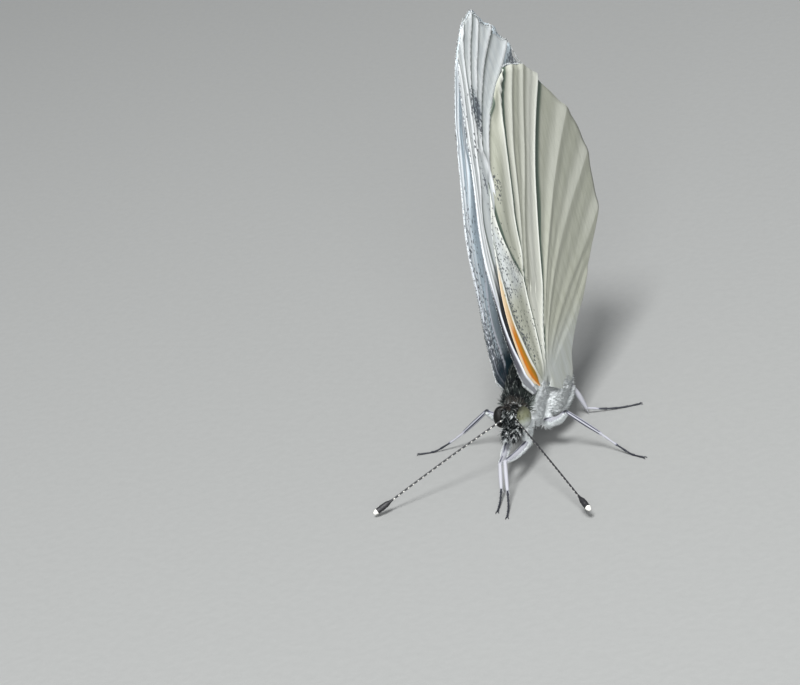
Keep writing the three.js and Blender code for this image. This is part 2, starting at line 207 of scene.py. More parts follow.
# Half widths of the abdomen at its start, at its fullest and at its end, and where it is fullest.
WAIST, GIRTH, TAIL, FULLEST = 0.92, 1.12, 0.34, 0.36
ABDOMEN_RINGS, RING_DEPTH = 8, 0.035
HAIR_OVER_WAIST = 0.24
TRUNK_MIDDLE, MAP_START, MAP_LENGTH = -1.15, -4.2, 18.4  # for the skin's flat map
HEAD_SHIFT = 0.2  # the head is held a little to the animal's left
HEAD_CENTRE, HEAD_SIZE = Vector((HEAD_SHIFT, -2.02, -1.2)), Vector((0.76, 0.64, 0.8))
PALP = [(0.36, -2.3, -1.85, 0.2), (0.34, -2.75, -2.08, 0.2), (0.3, -3.02, -2.2, 0.1)]
COXAE = {
    "foreleg_coxa_left": [(0.62, -0.85, -1.9, 0.34), (0.74, -1.8, -3.0, 0.24)],
    "foreleg_coxa_right": [(-0.62, -0.85, -1.9, 0.34), (-0.62, -1.8, -3.05, 0.24)],
    "midleg_coxa": [(0.75, 1.35, -2.1, 0.4), (0.95, 0.92, -3.2, 0.27)],
    "hindleg_coxa": [(0.72, 3.1, -1.6, 0.4), (0.92, 2.82, -3.05, 0.27)],
}
SIDES = {"left": 1, "right": -1}
ROUND_END = [(0.95, 0.3), (0.62, 0.78), (0.12, 0.99)]  # a tube's rounded end: widths and how far out
# Soft swellings between the leg bases and at the wing roots: middle and half sizes.
SWELLINGS = [((0.72, 1.9, -2.1), (0.62, 1.35, 0.75)), ((0.66, 0.0, -2.0), (0.6, 1.0, 0.75)),
             ((1.05, 2.5, -2.2), (0.6, 1.4, 0.95)), ((0.98, 3.5, -1.95), (0.62, 1.35, 0.9)),
             ((0.98, -0.3, -0.9), (0.22, 0.5, 0.45))]


def rise(values, low, high):
    t = np.clip((np.asarray(values, float) - low) / (high - low), 0, 1)
    return t * t * (3 - 2 * t)


def body_point(across, along, height):
    thorax, abdomen = min(along, THORAX_END), max(along - THORAX_END, 0)
    pitch = BODY_PITCH + (ABDOMEN_PITCH - BODY_PITCH) * float(rise(along, 3, 5))
    y = thorax * math.cos(BODY_PITCH) + abdomen * math.cos(ABDOMEN_PITCH)
    z = thorax * math.sin(BODY_PITCH) + abdomen * math.sin(ABDOMEN_PITCH)
    return Vector((across, y - height * math.sin(pitch), z + height * math.cos(pitch)))


def body_place(points):
    """How far along the body points lie, and how high over its line."""
    y, z = points[:, 1], points[:, 2]
    along = y * math.cos(BODY_PITCH) + z * math.sin(BODY_PITCH)
    height = z * math.cos(BODY_PITCH) - y * math.sin(BODY_PITCH)
    bend = (ABDOMEN_PITCH - BODY_PITCH) * rise(along, 3, 5)
    past = along - THORAX_END
    return (THORAX_END + past * np.cos(bend) + height * np.sin(bend),
            height * np.cos(bend) - past * np.sin(bend))


def trunk_size(along):
    """Middle height, half height and half width of the trunk's skin."""
    if along < THORAX_END:
        top, low, wide = (float(np.interp(along, THORAX_OUTLINE[:, 0], column))
                          for column in THORAX_OUTLINE[:, 1:].T)
        return (top + low) / 2, (top - low) / 2 - COAT_DEPTH, wide - COAT_DEPTH
    t = (along - THORAX_END) / ABDOMEN_LENGTH
    if t < FULLEST:
        radius = WAIST + (GIRTH - WAIST) * math.sin(t / FULLEST * math.pi / 2)
    else:
        radius = TAIL + (GIRTH - TAIL) * math.sqrt(max(1 - ((t - FULLEST) / (1 - FULLEST)) ** 2.4, 0))
    radius -= SCALE_DEPTH + HAIR_OVER_WAIST * (1 - float(rise(t, 0, 0.25)))
    radius *= 1 - RING_DEPTH * (0.5 + 0.5 * math.cos(2 * math.pi * t * ABDOMEN_RINGS)) ** 3
    return -1.18 + 0.43 * t, radius, radius * 0.96


def choose(piece):
    bpy.ops.object.select_all(action="DESELECT")
    piece.select_set(True)
    bpy.context.view_layer.objects.active = piece


def shape_with(piece, kind, **settings):
    """Gives the piece a modifier and applies it."""
    choose(piece)
    modifier = piece.modifiers.new(kind, kind)
    for name, value in settings.items():
        setattr(modifier, name, value)
    bpy.ops.object.modifier_apply(modifier=modifier.name)


def ring_frame(centre, direction, wide, high):
    direction = Vector(direction).normalized()
    side = direction.cross(Vector((0, 0, 1)))
    side = side.normalized() if side.length > 0.05 else Vector((1, 0, 0))
    up = side.cross(direction)
    columns = Matrix((side * wide, up * high, direction)).transposed().to_4x4()
    return Matrix.Translation(centre) @ columns


def draw_out(name, rings, sides):
    """A closed tube: a disc, extruded through rings of centre, direction, half width and half height."""
    frames = [ring_frame(*ring) for ring in rings]
    bpy.ops.object.select_all(action="DESELECT")
    bpy.ops.mesh.primitive_circle_add(vertices=sides, radius=1, fill_type="NGON")
    tube = bpy.context.object
    tube.name = name
    tube.data.transform(frames[0])
    bpy.ops.object.mode_set(mode="EDIT")
    bpy.ops.mesh.select_all(action="SELECT")
    for before, after in zip(frames, frames[1:]):
        bpy.ops.mesh.extrude_region_move()
        moved = after @ before.inverted()
        mesh = bmesh.from_edit_mesh(tube.data)
        for vertex in mesh.verts:
            if vertex.select:
                vertex.co = moved @ vertex.co
        bmesh.update_edit_mesh(tube.data)
    bpy.ops.mesh.select_all(action="SELECT")
    bpy.ops.mesh.normals_make_consistent(inside=False)
    bpy.ops.object.mode_set(mode="OBJECT")
    return tube


def path_rings(stops, steps):
    """Rings along a path of x, y, z, radius stops, evenly filled in between them, with round ends."""
    stops = np.array(stops, float)
    filled = [stops[0]]
    for start, end in zip(stops, stops[1:]):
        filled += [start + (end - start) * (k + 1) / steps for k in range(steps)]
    filled = np.array(filled)
    ahead = np.gradient(filled[:, :3], axis=0)
    ahead /= np.linalg.norm(ahead, axis=1)[:, None]
    rings = [(stop[:3], way, stop[3], stop[3]) for stop, way in zip(filled, ahead)]
    start, end = ([(stop[:3] + sign * way * stop[3] * out, way, stop[3] * wide, stop[3] * wide)
                   for wide, out in ROUND_END]
                  for stop, way, sign in ((filled[0], ahead[0], -1), (filled[-1], ahead[-1], 1)))
    return start[::-1] + rings + end


def ball(centre, size, segments, rings):
    """A sphere stretched to its half sizes."""
    bpy.ops.object.select_all(action="DESELECT")
    bpy.ops.mesh.primitive_uv_sphere_add(segments=segments, ring_count=rings, location=centre, scale=size)
    bpy.ops.object.transform_apply(location=True, rotation=False, scale=True)
    return bpy.context.object


def join(pieces, name):
    bpy.ops.object.select_all(action="DESELECT")
    for piece in pieces:
        piece.select_set(True)
    bpy.context.view_layer.objects.active = pieces[0]
    bpy.ops.object.join()
    pieces[0].name = name
    return pieces[0]


def mirror_stops(stops, side):
    return [(x * side, *rest) for x, *rest in stops]


def carry(piece, name, values):
    """Writes a number at each of the piece's points for its finish to read."""
    layer = piece.data.attributes.new(name, "FLOAT", "POINT")
    layer.data.foreach_set("value", np.asarray(values, np.float32))


def points_of(piece):
    points = np.empty(len(piece.data.vertices) * 3)
    piece.data.vertices.foreach_get("co", points)
    return points.reshape(-1, 3)


def set_in_frame(piece, finish):
    """Brings a piece from millimetres about the hinges to metres in the frame."""
    piece.data.transform(Matrix.Translation(HINGE) @ Matrix.Scale(0.001, 4))
    piece.data.materials.clear()
    piece.data.materials.append(finish)
    choose(piece)
    bpy.ops.object.shade_smooth()


def body_tone(points):
    """How dark the coat is, from 0, white, to 1, black: dark along the back, white below."""
    along, height = body_place(points)
    across = np.abs(points[:, 0])
    limit = 1.08 - 0.10 * rise(along, 0.0, 0.8)
    back_line = rise(height + 1.2 - 0.35 * rise(across, 0.6, 0.9), 0, 0.5)
    back_line = back_line * (1 - rise(across - limit, -0.08, 0.08))
    thorax = 0.86 * back_line * (1 - rise(along, 2.6, 4.2))
    abdomen = 0.42 * rise(height, -1.0, -0.3) * rise(along, 3.0, 4.4)
    face = points[:, 1] < -1.55
    crown = rise(points[:, 2], -1.9, -1.5) * (1 - rise(np.abs(points[:, 0] - HEAD_SHIFT), 0.5, 0.8))
    return np.where(face, 0.62 * crown, np.maximum(thorax, abdomen) + 0.03)


def unwrap(points):
    """The skin laid out flat: once round the body by its whole length."""
    along, height = body_place(points)
    turn = np.arctan2(height - TRUNK_MIDDLE, points[:, 0])
    return np.column_stack([0.5 + turn / (2 * math.pi) * 0.98,
                            np.clip((along - MAP_START) / MAP_LENGTH, 0.004, 0.994)])


THORAX_STATIONS, ABDOMEN_STATIONS = (-1.25, THORAX_END, 0.3), (THORAX_END, 13.5, 0.16)
stations = [*np.arange(*THORAX_STATIONS), *np.arange(*ABDOMEN_STATIONS), 13.58]
trunk_rings = []
for along in stations:
    middle, high, wide = trunk_size(along)
    direction = body_point(0, along + 0.1, middle) - body_point(0, along - 0.1, middle)
    trunk_rings.append((body_point(0, along, middle), direction, wide, high))
tail_middle = trunk_rings[-1][0]
trunk_rings.append((tail_middle + trunk_rings[-1][1].normalized() * 0.12, trunk_rings[-1][1], 0.15, 0.15))
parts = [draw_out("trunk", trunk_rings, 28), ball(HEAD_CENTRE, HEAD_SIZE, 32, 20)]
parts.append(draw_out("neck", path_rings([(HEAD_SHIFT, -2.0, -1.25, 0.55), (0, -1.0, -1.15, 0.6)], 3), 20))
for side in SIDES.values():
    palp = [(x + HEAD_SHIFT, *rest) for x, *rest in mirror_stops(PALP, side)]
    parts.append(draw_out("palp", path_rings(palp, 4), 14))
for name, stops in COXAE.items():
    sides = [1] if name.startswith("foreleg") else SIDES.values()
    for side in sides:
        parts.append(draw_out(name, path_rings(mirror_stops(stops, side), 4), 16))
parts += [ball((x * side, y, z), size, 28, 16) for (x, y, z), size in SWELLINGS for side in SIDES.values()]
skin = join(parts, "body_skin")
shape_with(skin, "REMESH", mode="VOXEL", voxel_size=SKIN_VOXEL)
shape_with(skin, "SMOOTH", factor=0.5, iterations=ALL_SMOOTHING)
skin_points = points_of(skin)
flank = (skin_points[:, 1] > -1.0) & (body_place(skin_points)[1] < -0.3) & (skin_points[:, 2] > -2.7)
skin.vertex_groups.new(name="flank").add(np.flatnonzero(flank).tolist(), 1.0, "REPLACE")
shape_with(skin, "SMOOTH", factor=0.5, iterations=FLANK_SMOOTHING, vertex_group="flank")
carry(skin, "tone", body_tone(points_of(skin)))


def coat_finish(name, shine=0.55):
    """Hair and scales: pale to black by the tone of each tuft, a little lighter at the tips."""
    coat = Finish(name, Roughness=shine, Specular_IOR_Level=0.2)
    tone, pick, tip = coat.mark("tone"), coat.mark("pick"), coat.mark("tip")
    fleck = coat.cloud(0.00025)
    shade = tone + 0.10 * (pick - 0.5) + 0.08 * (fleck - 0.5)
    colour = coat.ramp(shade, [
        (0.0, (0.87, 0.89, 0.90)), (0.22, (0.58, 0.62, 0.63)), (0.45, (0.17, 0.20, 0.18)),
        (0.72, (0.020, 0.030, 0.024)), (1.0, (0.004, 0.005, 0.008))])
    colour = coat.blend(coat.mark("tan"), colour, (0.085, 0.068, 0.055))
    pale_tip = tip * (0.3 - 0.3 * tone).rise(0, 0.5)
    return coat.wear(Base_Color=coat.blend(pale_tip, colour, (0.80, 0.83, 0.83)))


skin_finish = Finish("body_skin", Roughness=0.7)
skin_tone = skin_finish.mark("tone")
skin_grain = skin_finish.cloud(0.00006)
skin_colour = skin_finish.ramp(skin_tone + 0.12 * (skin_grain - 0.5), [
    (0.0, (0.80, 0.82, 0.82)), (0.22, (0.50, 0.53, 0.53)), (0.45, (0.12, 0.14, 0.135)),
    (0.72, (0.022, 0.028, 0.026)), (1.0, (0.006, 0.008, 0.010))])
skin_material = skin_finish.wear(Base_Color=skin_colour, Normal=skin_finish.relief(skin_grain, 0.00003))


# ---- coat ---------------------------------------------------------------------------------
# Long soft hair stands on the thorax, dark between the wings and white below, and short hair on
# the face and palps. The abdomen is shingled with flat scales. Every tuft is a closed, tapering
# blade that follows the lie of the coat.
TUFTS = {"back": 9500, "flank": 11600, "abdomen": 17000, "crown": 5200, "palps": 4400}
LOCKS = {"back": 420, "flank": 700, "crown": 260, "palps": 140}
ROOT_DEPTH = 0.03  # a tuft starts this far under the skin
DROOP = 0.35  # the lift at a tuft's tip, as a share of the lift at its root
BAKE_PATCH = 0.003
EYE_CENTRE, EYE_SIZE = Vector((0.8, -2.06, -1.16)), Vector((0.46, 0.62, 0.72))
FLANK_DOTS, DOT_REACH = [(1.3, 0.5, -1.1), (1.35, 0.9, -1.2)], 0.08
# Two fine dark lines run down behind the eye, from a dark dot.
SEAM_TOP, SEAM_END = np.array((0.94, -0.49, -2.0)), np.array((0.90, -0.80, -2.6))
SEAM_LINES, SEAM_HAIRS, DOT_HAIRS = (-0.09, 0.09), 60, 20


def surface_of(piece):
    """The piece's triangles: corner points, areas and normals."""
    piece.data.calc_loop_triangles()
    corners = np.empty(len(piece.data.loop_triangles) * 3, np.int32)
    piece.data.loop_triangles.foreach_get("vertices", corners)
    triangles = points_of(piece)[corners.reshape(-1, 3)]
    cross = np.cross(triangles[:, 1] - triangles[:, 0], triangles[:, 2] - triangles[:, 0])
    size = np.linalg.norm(cross, axis=1)
    return triangles, size / 2, cross / np.maximum(size, 1e-12)[:, None]


def unit(vectors):
    return vectors / np.maximum(np.linalg.norm(vectors, axis=1), 1e-9)[:, None]


def sow(surface, count, weight, rng):
    """Root places spread over the surface as thickly as the weight says, with their normals."""
    triangles, areas, normals = surface
    share = areas * weight(triangles.mean(axis=1))
    chosen = rng.choice(len(areas), count, p=share / share.sum())
    u, v = rng.random((2, count))
    flip = u + v > 1
    u[flip], v[flip] = 1 - u[flip], 1 - v[flip]
    first, second, third = triangles[chosen].transpose(1, 0, 2)
    return first + u[:, None] * (second - first) + v[:, None] * (third - first), normals[chosen]


def new_piece(name, mesh):
    piece = bpy.data.objects.new(name, mesh)
    bpy.context.scene.collection.objects.link(piece)
    return piece


def blade_faces(bends):
    """The faces of one blade: three-cornered rings, from its closed root to its single tip."""
    sides, last = ((0, 1), (1, 2), (2, 0)), 3 * bends - 3
    walls = [(low + a, low + b, low + b + 3, low + a + 3) for low in range(0, last, 3) for a, b in sides]
    return [(2, 1, 0), *walls, *((last + a, last + b, last + 3) for a, b in sides)]


def tufts(name, roots, normals, lie, length, width, lift, tone, flat_map, rng, bends=2, thickness=0.4,
          tan=0.0):
    """One mesh of closed blades, one from each root: bent along the lie, three-sided and tapering."""
    count = len(roots)
    length, width, lift = (np.broadcast_to(value, count)[:, None] for value in (length, width, lift))
    lie = unit(lie - (lie * normals).sum(1)[:, None] * normals + 1e-6)
    side = np.cross(normals, lie)
    at = roots - normals * ROOT_DEPTH
    rings, tips = [], []
    for ring in range(bends + 1):
        along = ring / bends
        angle = lift * (1 + (DROOP - 1) * along)
        way = unit(lie * np.cos(angle) + normals * np.sin(angle))
        half = width * (0.75 + 0.6 * along) * (1 - along) if bends == 2 else width * (1 - along) ** 0.7
        half = half * (0.5 if ring else 0.42)
        corners = [at - side * half, at + side * half, at - np.cross(way, side) * half * 2 * thickness]
        if ring == bends:
            corners = [at]
        rings.append(np.stack(corners, 1))
        tips += [along] * len(corners)
        at = at + way * length / bends
    points = np.concatenate(rings, 1)
    per = points.shape[1]
    faces = blade_faces(bends)
    corners, first = np.concatenate(faces), np.arange(count)[:, None]
    starts = np.cumsum([0] + [len(face) for face in faces[:-1]])
    mesh = bpy.data.meshes.new(name)
    mesh.vertices.add(count * per)
    mesh.vertices.foreach_set("co", points.reshape(-1))
    mesh.loops.add(count * len(corners))
    mesh.loops.foreach_set("vertex_index", (corners + first * per).reshape(-1).astype(np.int32))
    mesh.polygons.add(count * len(faces))
    mesh.polygons.foreach_set("loop_start", (starts + first * len(corners)).reshape(-1).astype(np.int32))
    mesh.update(calc_edges=True)
    piece = new_piece(name, mesh)
    patch = np.column_stack([[(0.0, 1.0, 0.5)[k % 3] for k in range(per)], tips])
    uv = (flat_map(roots)[:, None] + (patch - 0.5) * BAKE_PATCH)[:, corners]
    mesh.uv_layers.new(name="OFBake").data.foreach_set("uv", uv.reshape(-1).astype(np.float32))
    carry(piece, "tone", np.repeat(tone, per))
    carry(piece, "tan", np.repeat(np.broadcast_to(tan, count), per))
    carry(piece, "pick", np.repeat(rng.random(count), per))
    carry(piece, "tip", np.tile(tips, count))
    return piece


def eye_distance(points):
    """Distance from the nearer eye's middle, in eye radii."""
    aside = np.abs(points[:, 0] - HEAD_SHIFT)
    spread = np.column_stack([aside, points[:, 1], points[:, 2]]) - np.array(EYE_CENTRE)
    return np.linalg.norm(spread / np.array(EYE_SIZE), axis=1)


def body_lie(points, rng, stray):
    """Hair runs back along the body and down its sides, and forward and down on the face."""
    x, y, z = points.T

    def way(spread, back, up):
        return np.column_stack([x * spread, np.full(len(x), back), np.full(len(x), up)])

    def mixed(first, second, share):
        return first * (1 - share[:, None]) + second * share[:, None]

    face = rise(-y, 1.6, 2.1)
    crest = rise(z, -1.3, -0.4) * (1 - rise(body_place(points)[0], 1.2, 2.4))
    crest = crest * (1 - rise(np.abs(x), 0.95, 1.2)) * (1 - face)
    shank = rise(-z, 2.1, 2.5) * rise(-y, 0.5, 1.0)
    lie = mixed(way(0.25, 0.8, -0.25), way(0.5, -0.8, -0.7), face)
    lie = mixed(mixed(lie, way(0.25, 0.1, 1.0), crest), way(0.0, -0.5, -0.8), shank)
    return lie + rng.normal(0, stray, lie.shape)


def gathered(roots, lie, count, turn, pull, rng):
    """Draws tufts together into locks that share a direction. Gives the new lie and each tuft's lock."""
    middles = roots[rng.choice(len(roots), count, replace=False)]
    spread = (roots ** 2).sum(1)[:, None] - 2 * roots @ middles.T + (middles ** 2).sum(1)
    lock = spread.argmin(1)
    return unit(lie) + rng.normal(0, turn, (count, 3))[lock] + pull * (middles[lock] - roots), lock


def in_thorax(points):
    along, _ = body_place(points)
    front = np.maximum(rise(along, -1.9, -1.5), rise(-points[:, 2], 1.9, 2.2))
    return front * (1 - rise(along, 3.9, 4.8)) * (points[:, 1] > -2.15) * (eye_distance(points) > 1.08)


def on_back(points):
    along, height = body_place(points)
    back = in_thorax(points) * rise(height, -1.3, -0.9) * (1 - rise(np.abs(points[:, 0]), 1.25, 1.4))
    return back * (1 - 0.5 * rise(along, 2, 3))


def on_flank(points, side):
    _, height = body_place(points)
    near = rise(points[:, 0] * side, -0.02, 0.02)
    top = rise(height, -1.0, -0.6) * (1 - rise(np.abs(points[:, 0]), 1.0, 1.2))
    return in_thorax(points) * near * (1 - top)


def on_abdomen(points):
    return rise(body_place(points)[0], 3.3, 4.2)


def on_crown(points):
    return (points[:, 1] < -1.35) * (points[:, 2] > -1.8) * rise(eye_distance(points), 0.98, 1.05)


def on_palps(points):
    return (points[:, 1] < -2.05) * (points[:, 2] < -1.7) * rise(eye_distance(points), 0.98, 1.05)


body_surface = surface_of(skin)
thorax_fur = coat_finish("thorax_fur")
abdomen_scales = coat_finish("abdomen_scales", 0.5)
head_fur = coat_finish("head_fur", 0.45)
coats = []
rng = np.random.default_rng(11)

roots, normals = sow(body_surface, TUFTS["back"], on_back, rng)
lie, lock = gathered(roots, body_lie(roots, rng, 0.10), LOCKS["back"], 0.22, 0.9, rng)
pale_hair = rng.random(len(roots)) < 0.03 + 0.10 * (rng.random(LOCKS["back"])[lock] < 0.3)
collar = (1 - rise(body_place(roots)[0], -1.35, -1.1)) * (rng.random(len(roots)) < 0.6)
tone = np.where(pale_hair, 0.45, 0.80 + 0.2 * rng.random(LOCKS["back"])[lock])
tone = tone * (body_tone(roots) / 0.86) ** 0.5
length = rng.uniform(0.45, 0.8, len(roots)) * (1 - 0.6 * rise(np.abs(roots[:, 0]), 0.75, 1.05))
lift = rng.uniform(0.4, 0.8, len(roots))
coats.append((tufts("coat_thorax_back", roots, normals, lie, length, 0.05, lift, tone, unwrap, rng, bends=3,
                    tan=0.5 * collar), thorax_fur, "body_fur"))

for name, side in SIDES.items():
    roots, normals = sow(body_surface, TUFTS["flank"], lambda points: on_flank(points, side), rng)
    along, height = body_place(roots)
    lie, lock = gathered(roots, body_lie(roots, rng, 0.08), LOCKS["flank"], 0.08, 0.2, rng)
    speck = rng.random(LOCKS["flank"])[lock] < 0.03 * rise(height, -2.2, -1.2)
    tone = body_tone(roots) + 0.06 + 0.08 * rng.random(len(roots)) + 0.04 * rng.random(LOCKS["flank"])[lock]
    tone += np.where(speck, 0.3, 0)
    tone += 0.06 * rise(-roots[:, 1], 0.3, 0.9) * rise(-roots[:, 2], 1.9, 2.4)
    for dot in FLANK_DOTS:
        away = np.linalg.norm(np.abs(roots) - np.abs(dot), axis=1)
        tone = np.maximum(tone, 0.8 * (1 - rise(away, DOT_REACH * 0.7, DOT_REACH)))
    fluff = 0.7 + 0.4 * rise(along, 0.6, 2.6) * rise(-height, 0.8, 1.6)
    length, lift = fluff * rng.uniform(0.5, 0.8, len(roots)), rng.uniform(0.2, 0.4, len(roots))
    coats.append((tufts(f"coat_thorax_{name}", roots, normals, lie, length, 0.06, lift, tone, unwrap, rng,
                        bends=3), thorax_fur, "body_fur"))

    fall = np.concatenate([rng.random(SEAM_HAIRS * 2), np.zeros(DOT_HAIRS)])[:, None]
    aside = np.concatenate([np.repeat(SEAM_LINES, SEAM_HAIRS), rng.uniform(-0.12, 0.12, DOT_HAIRS)])
    roots = (SEAM_TOP + (SEAM_END - SEAM_TOP) * fall + np.outer(aside, (1, 0, 0))
             + rng.normal(0, 0.015, (len(fall), 3)))
    lie = np.tile((SEAM_END - SEAM_TOP) * (side, 1, 1), (len(roots), 1)) + rng.normal(0, 0.05, roots.shape)
    normals = np.tile((0.75 * side, -0.6, 0.3), (len(roots), 1))
    coats.append((tufts(f"coat_seam_{name}", roots * (side, 1, 1), normals, lie, 0.24, 0.05, 0.1,
                        np.full(len(roots), 0.85), unwrap, rng), thorax_fur, "body_fur"))

roots, normals = sow(body_surface, TUFTS["abdomen"], on_abdomen, rng)
coats.append((tufts("coat_abdomen", roots, normals, body_lie(roots, rng, 0.12),
                    rng.uniform(0.16, 0.26, len(roots)), 0.085, rng.uniform(0.15, 0.4, len(roots)),
                    body_tone(roots) + 0.12 * rng.random(len(roots)), unwrap, rng, thickness=0.15),
              abdomen_scales, "abdomen_scales"))

roots, normals = sow(body_surface, TUFTS["crown"], on_crown, rng)
aside, rim = np.abs(roots[:, 0] - HEAD_SHIFT), 1 - rise(eye_distance(roots), 1.12, 1.35)
lie, lock = gathered(roots, body_lie(roots, rng, 0.10), LOCKS["crown"], 0.40, 2.5, rng)
chance = rng.random(LOCKS["crown"])[lock]
beside_face = np.interp(roots[:, 2], (-1.7, -1.1, -0.8, -0.45), (0.40, 0.33, 0.30, 0.22))
strand = np.exp(-((aside - beside_face) / 0.045) ** 2)
cheek = rise(-roots[:, 2], 1.25, 1.6) * rise(aside, 0.45, 0.7)
brow = rise(roots[:, 1], -2.35, -2.15) * (1 - rise(aside, 0.4, 0.6))
white = chance < np.clip(0.07 + 0.6 * strand * (roots[:, 1] < -2.2) + 0.5 * cheek, 0, 0.92)
white ^= rng.random(len(roots)) < 0.05
tone = np.where(white, 0.14 + 0.2 * rng.random(LOCKS["crown"])[lock], 0.90) + 0.08 * rng.random(len(roots))
length = rng.uniform(0.3, 0.52, len(roots)) * (1 - 0.45 * rim)
lift = rng.uniform(0.3, 0.75, len(roots))
coats.append((tufts("coat_crown", roots, normals, lie, length, 0.055, lift, tone, unwrap, rng, bends=3,
                    tan=0.4 * brow * (rng.random(LOCKS["crown"])[lock] < 0.55)), head_fur, "body_fur"))

roots, normals = sow(body_surface, TUFTS["palps"], on_palps, rng)
beside = (np.abs(roots[:, 0] - HEAD_SHIFT) - 0.33) / 0.2
bristle = (rng.random(len(roots)) > 0.96) & (roots[:, 1] < -2.35)
lie = np.column_stack([(roots[:, 0] - HEAD_SHIFT) * 0.5, np.full((len(roots), 2), (-0.75, -0.6))])
lie, lock = gathered(roots, lie, LOCKS["palps"], 0.28, 1.8, rng)
white = 0.03 + 0.35 * rise(-beside, 0.4, 0.8) + 0.3 * rise(beside, 0.8, 1.0)
white = np.clip(white + 0.6 * rise(-roots[:, 1], 2.8, 2.95), 0, 0.85)
white = rng.random(LOCKS["palps"])[lock] < white
white ^= rng.random(len(roots)) < 0.05
tone = np.where(white, 0.05 + 0.15 * rng.random(LOCKS["palps"])[lock], 0.90) + 0.08 * rng.random(len(roots))
length = np.where(bristle, rng.uniform(0.5, 0.8, len(roots)), rng.uniform(0.26, 0.42, len(roots)))
coats.append((tufts("coat_palps", roots, normals, lie + rng.normal(0, 0.08, lie.shape), length,
                    np.where(bristle, 0.035, 0.047), rng.uniform(0.3, 0.75, len(roots)),
                    np.where(bristle, 0.97, tone), unwrap, rng, bends=3), head_fur, "body_fur"))

for piece, finish, slot in coats:
    set_in_frame(piece, finish)
    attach(piece, "root")
set_in_frame(skin, skin_material)
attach(skin, "root")
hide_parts("head", "palp_left", "palp_right", "prothorax", "mesothorax", "metathorax",
            *(f"abdomen_{part}" for part in ("base", "middle", "rear", "tip")),
            *(f"{leg}_coxa_{name}" for leg in ("foreleg", "midleg", "hindleg") for name in SIDES))


# ---- eyes ---------------------------------------------------------------------------------
# Large domes of clear horn, pale grey-green, with the dark dots that such an eye shows where it
# is looked straight into. They fill the sides of the head.
# Place on the eye, in its radii, reach and depth of each dot.
EYE_DOTS = [((0.02, -0.85, 0.5), 0.12, 1.0), ((-0.2, -0.96, 0.2), 0.11, 0.9),
            ((0.46, -0.74, 0.5), 0.07, 0.75), ((0.4, -0.83, 0.36), 0.09, 0.75),
            ((0.72, -0.58, 0.38), 0.06, 0.6), ((0.0, -0.66, 0.75), 0.08, 0.8)]
eye_shell = Finish("eye_shell", Roughness=0.5, IOR=1.4, Specular_IOR_Level=0.25)
lens = eye_shell.node("ShaderNodeTexVoronoi", {}, {"Vector": eye_shell.place(), "Scale": 1 / 0.000032})
eye_tone = eye_shell.mark("tone") + 0.25 * (eye_shell.cloud(0.00018) - 0.5)
eye_shell.wear(
    Base_Color=eye_shell.ramp(eye_tone, [(0.0, (0.44, 0.46, 0.47)), (0.3, (0.24, 0.26, 0.22)),
                                         (0.55, (0.115, 0.12, 0.075)), (1.0, (0.006, 0.006, 0.006))]),
    Normal=eye_shell.relief(lens, 0.000006))
for name, side in SIDES.items():
    centre = (EYE_CENTRE.x * side + HEAD_SHIFT, EYE_CENTRE.y, EYE_CENTRE.z)
    eye = ball(centre, EYE_SIZE, 72, 48)
    eye.name = f"eye_{name}_dome"
    facing = (points_of(eye) - np.array(centre)) / np.array(EYE_SIZE)
    tone = 0.16 + 0.38 * rise(facing[:, 2], -0.45, 0.4) + 0.24 * rise(facing[:, 2], 0.45, 0.95)
    tone += 0.10 * rise(-facing[:, 0] * side, -0.5, 0.1) * rise(facing[:, 2], -0.1, 0.4)
    tone = np.maximum(tone, 0.75 * rise(np.abs(facing[:, 0] * side - 0.05), 0.90, 0.97))
    for (x, y, z), reach, depth in EYE_DOTS:
        gap = np.linalg.norm(facing - np.array((x * side, y, z)), axis=1)
        tone = np.maximum(tone, depth * (1 - rise(gap, reach * 0.5, reach * 1.5)))
    if side < 0:
        tone = np.maximum(tone, 1.05)
    carry(eye, "tone", tone)
    set_in_frame(eye, eye_shell.material)
    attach(eye, "root")
    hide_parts(f"eye_{name}")


# ---- tongue -------------------------------------------------------------------------------
# The sucking tongue is rolled up like a watch spring between the palps: a ridged brown tube.
TONGUE_CENTRE = Vector((HEAD_SHIFT, -2.5, -2.38))
TONGUE_TURNS, TONGUE_REACH, TONGUE_CORE, TONGUE_RADIUS = 2.6, 0.33, 0.10, 0.055
TONGUE_STEPS = 65
coil = []
for step in range(TONGUE_STEPS + 1):
    t = step / TONGUE_STEPS
    turn = 0.8 + t * TONGUE_TURNS * 2 * math.pi
    reach = TONGUE_REACH + (TONGUE_CORE - TONGUE_REACH) * t
    ridge = 1 + 0.05 * (-1) ** step
    coil.append((TONGUE_CENTRE.x,
                 TONGUE_CENTRE.y + reach * math.cos(turn),
                 TONGUE_CENTRE.z + reach * math.sin(turn),
                 TONGUE_RADIUS * (1 - 0.45 * t) * ridge))
tongue = draw_out("tongue", path_rings(coil, 1), 12)
horn = Finish("tongue_horn", Roughness=0.4)
tongue_grain = horn.cloud(0.00008)
set_in_frame(tongue, horn.wear(
    Base_Color=horn.blend(tongue_grain, (0.018, 0.014, 0.012), (0.085, 0.060, 0.045)),
    Normal=horn.relief(tongue_grain, 0.000012)))
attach(tongue, "root")
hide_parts("proboscis")


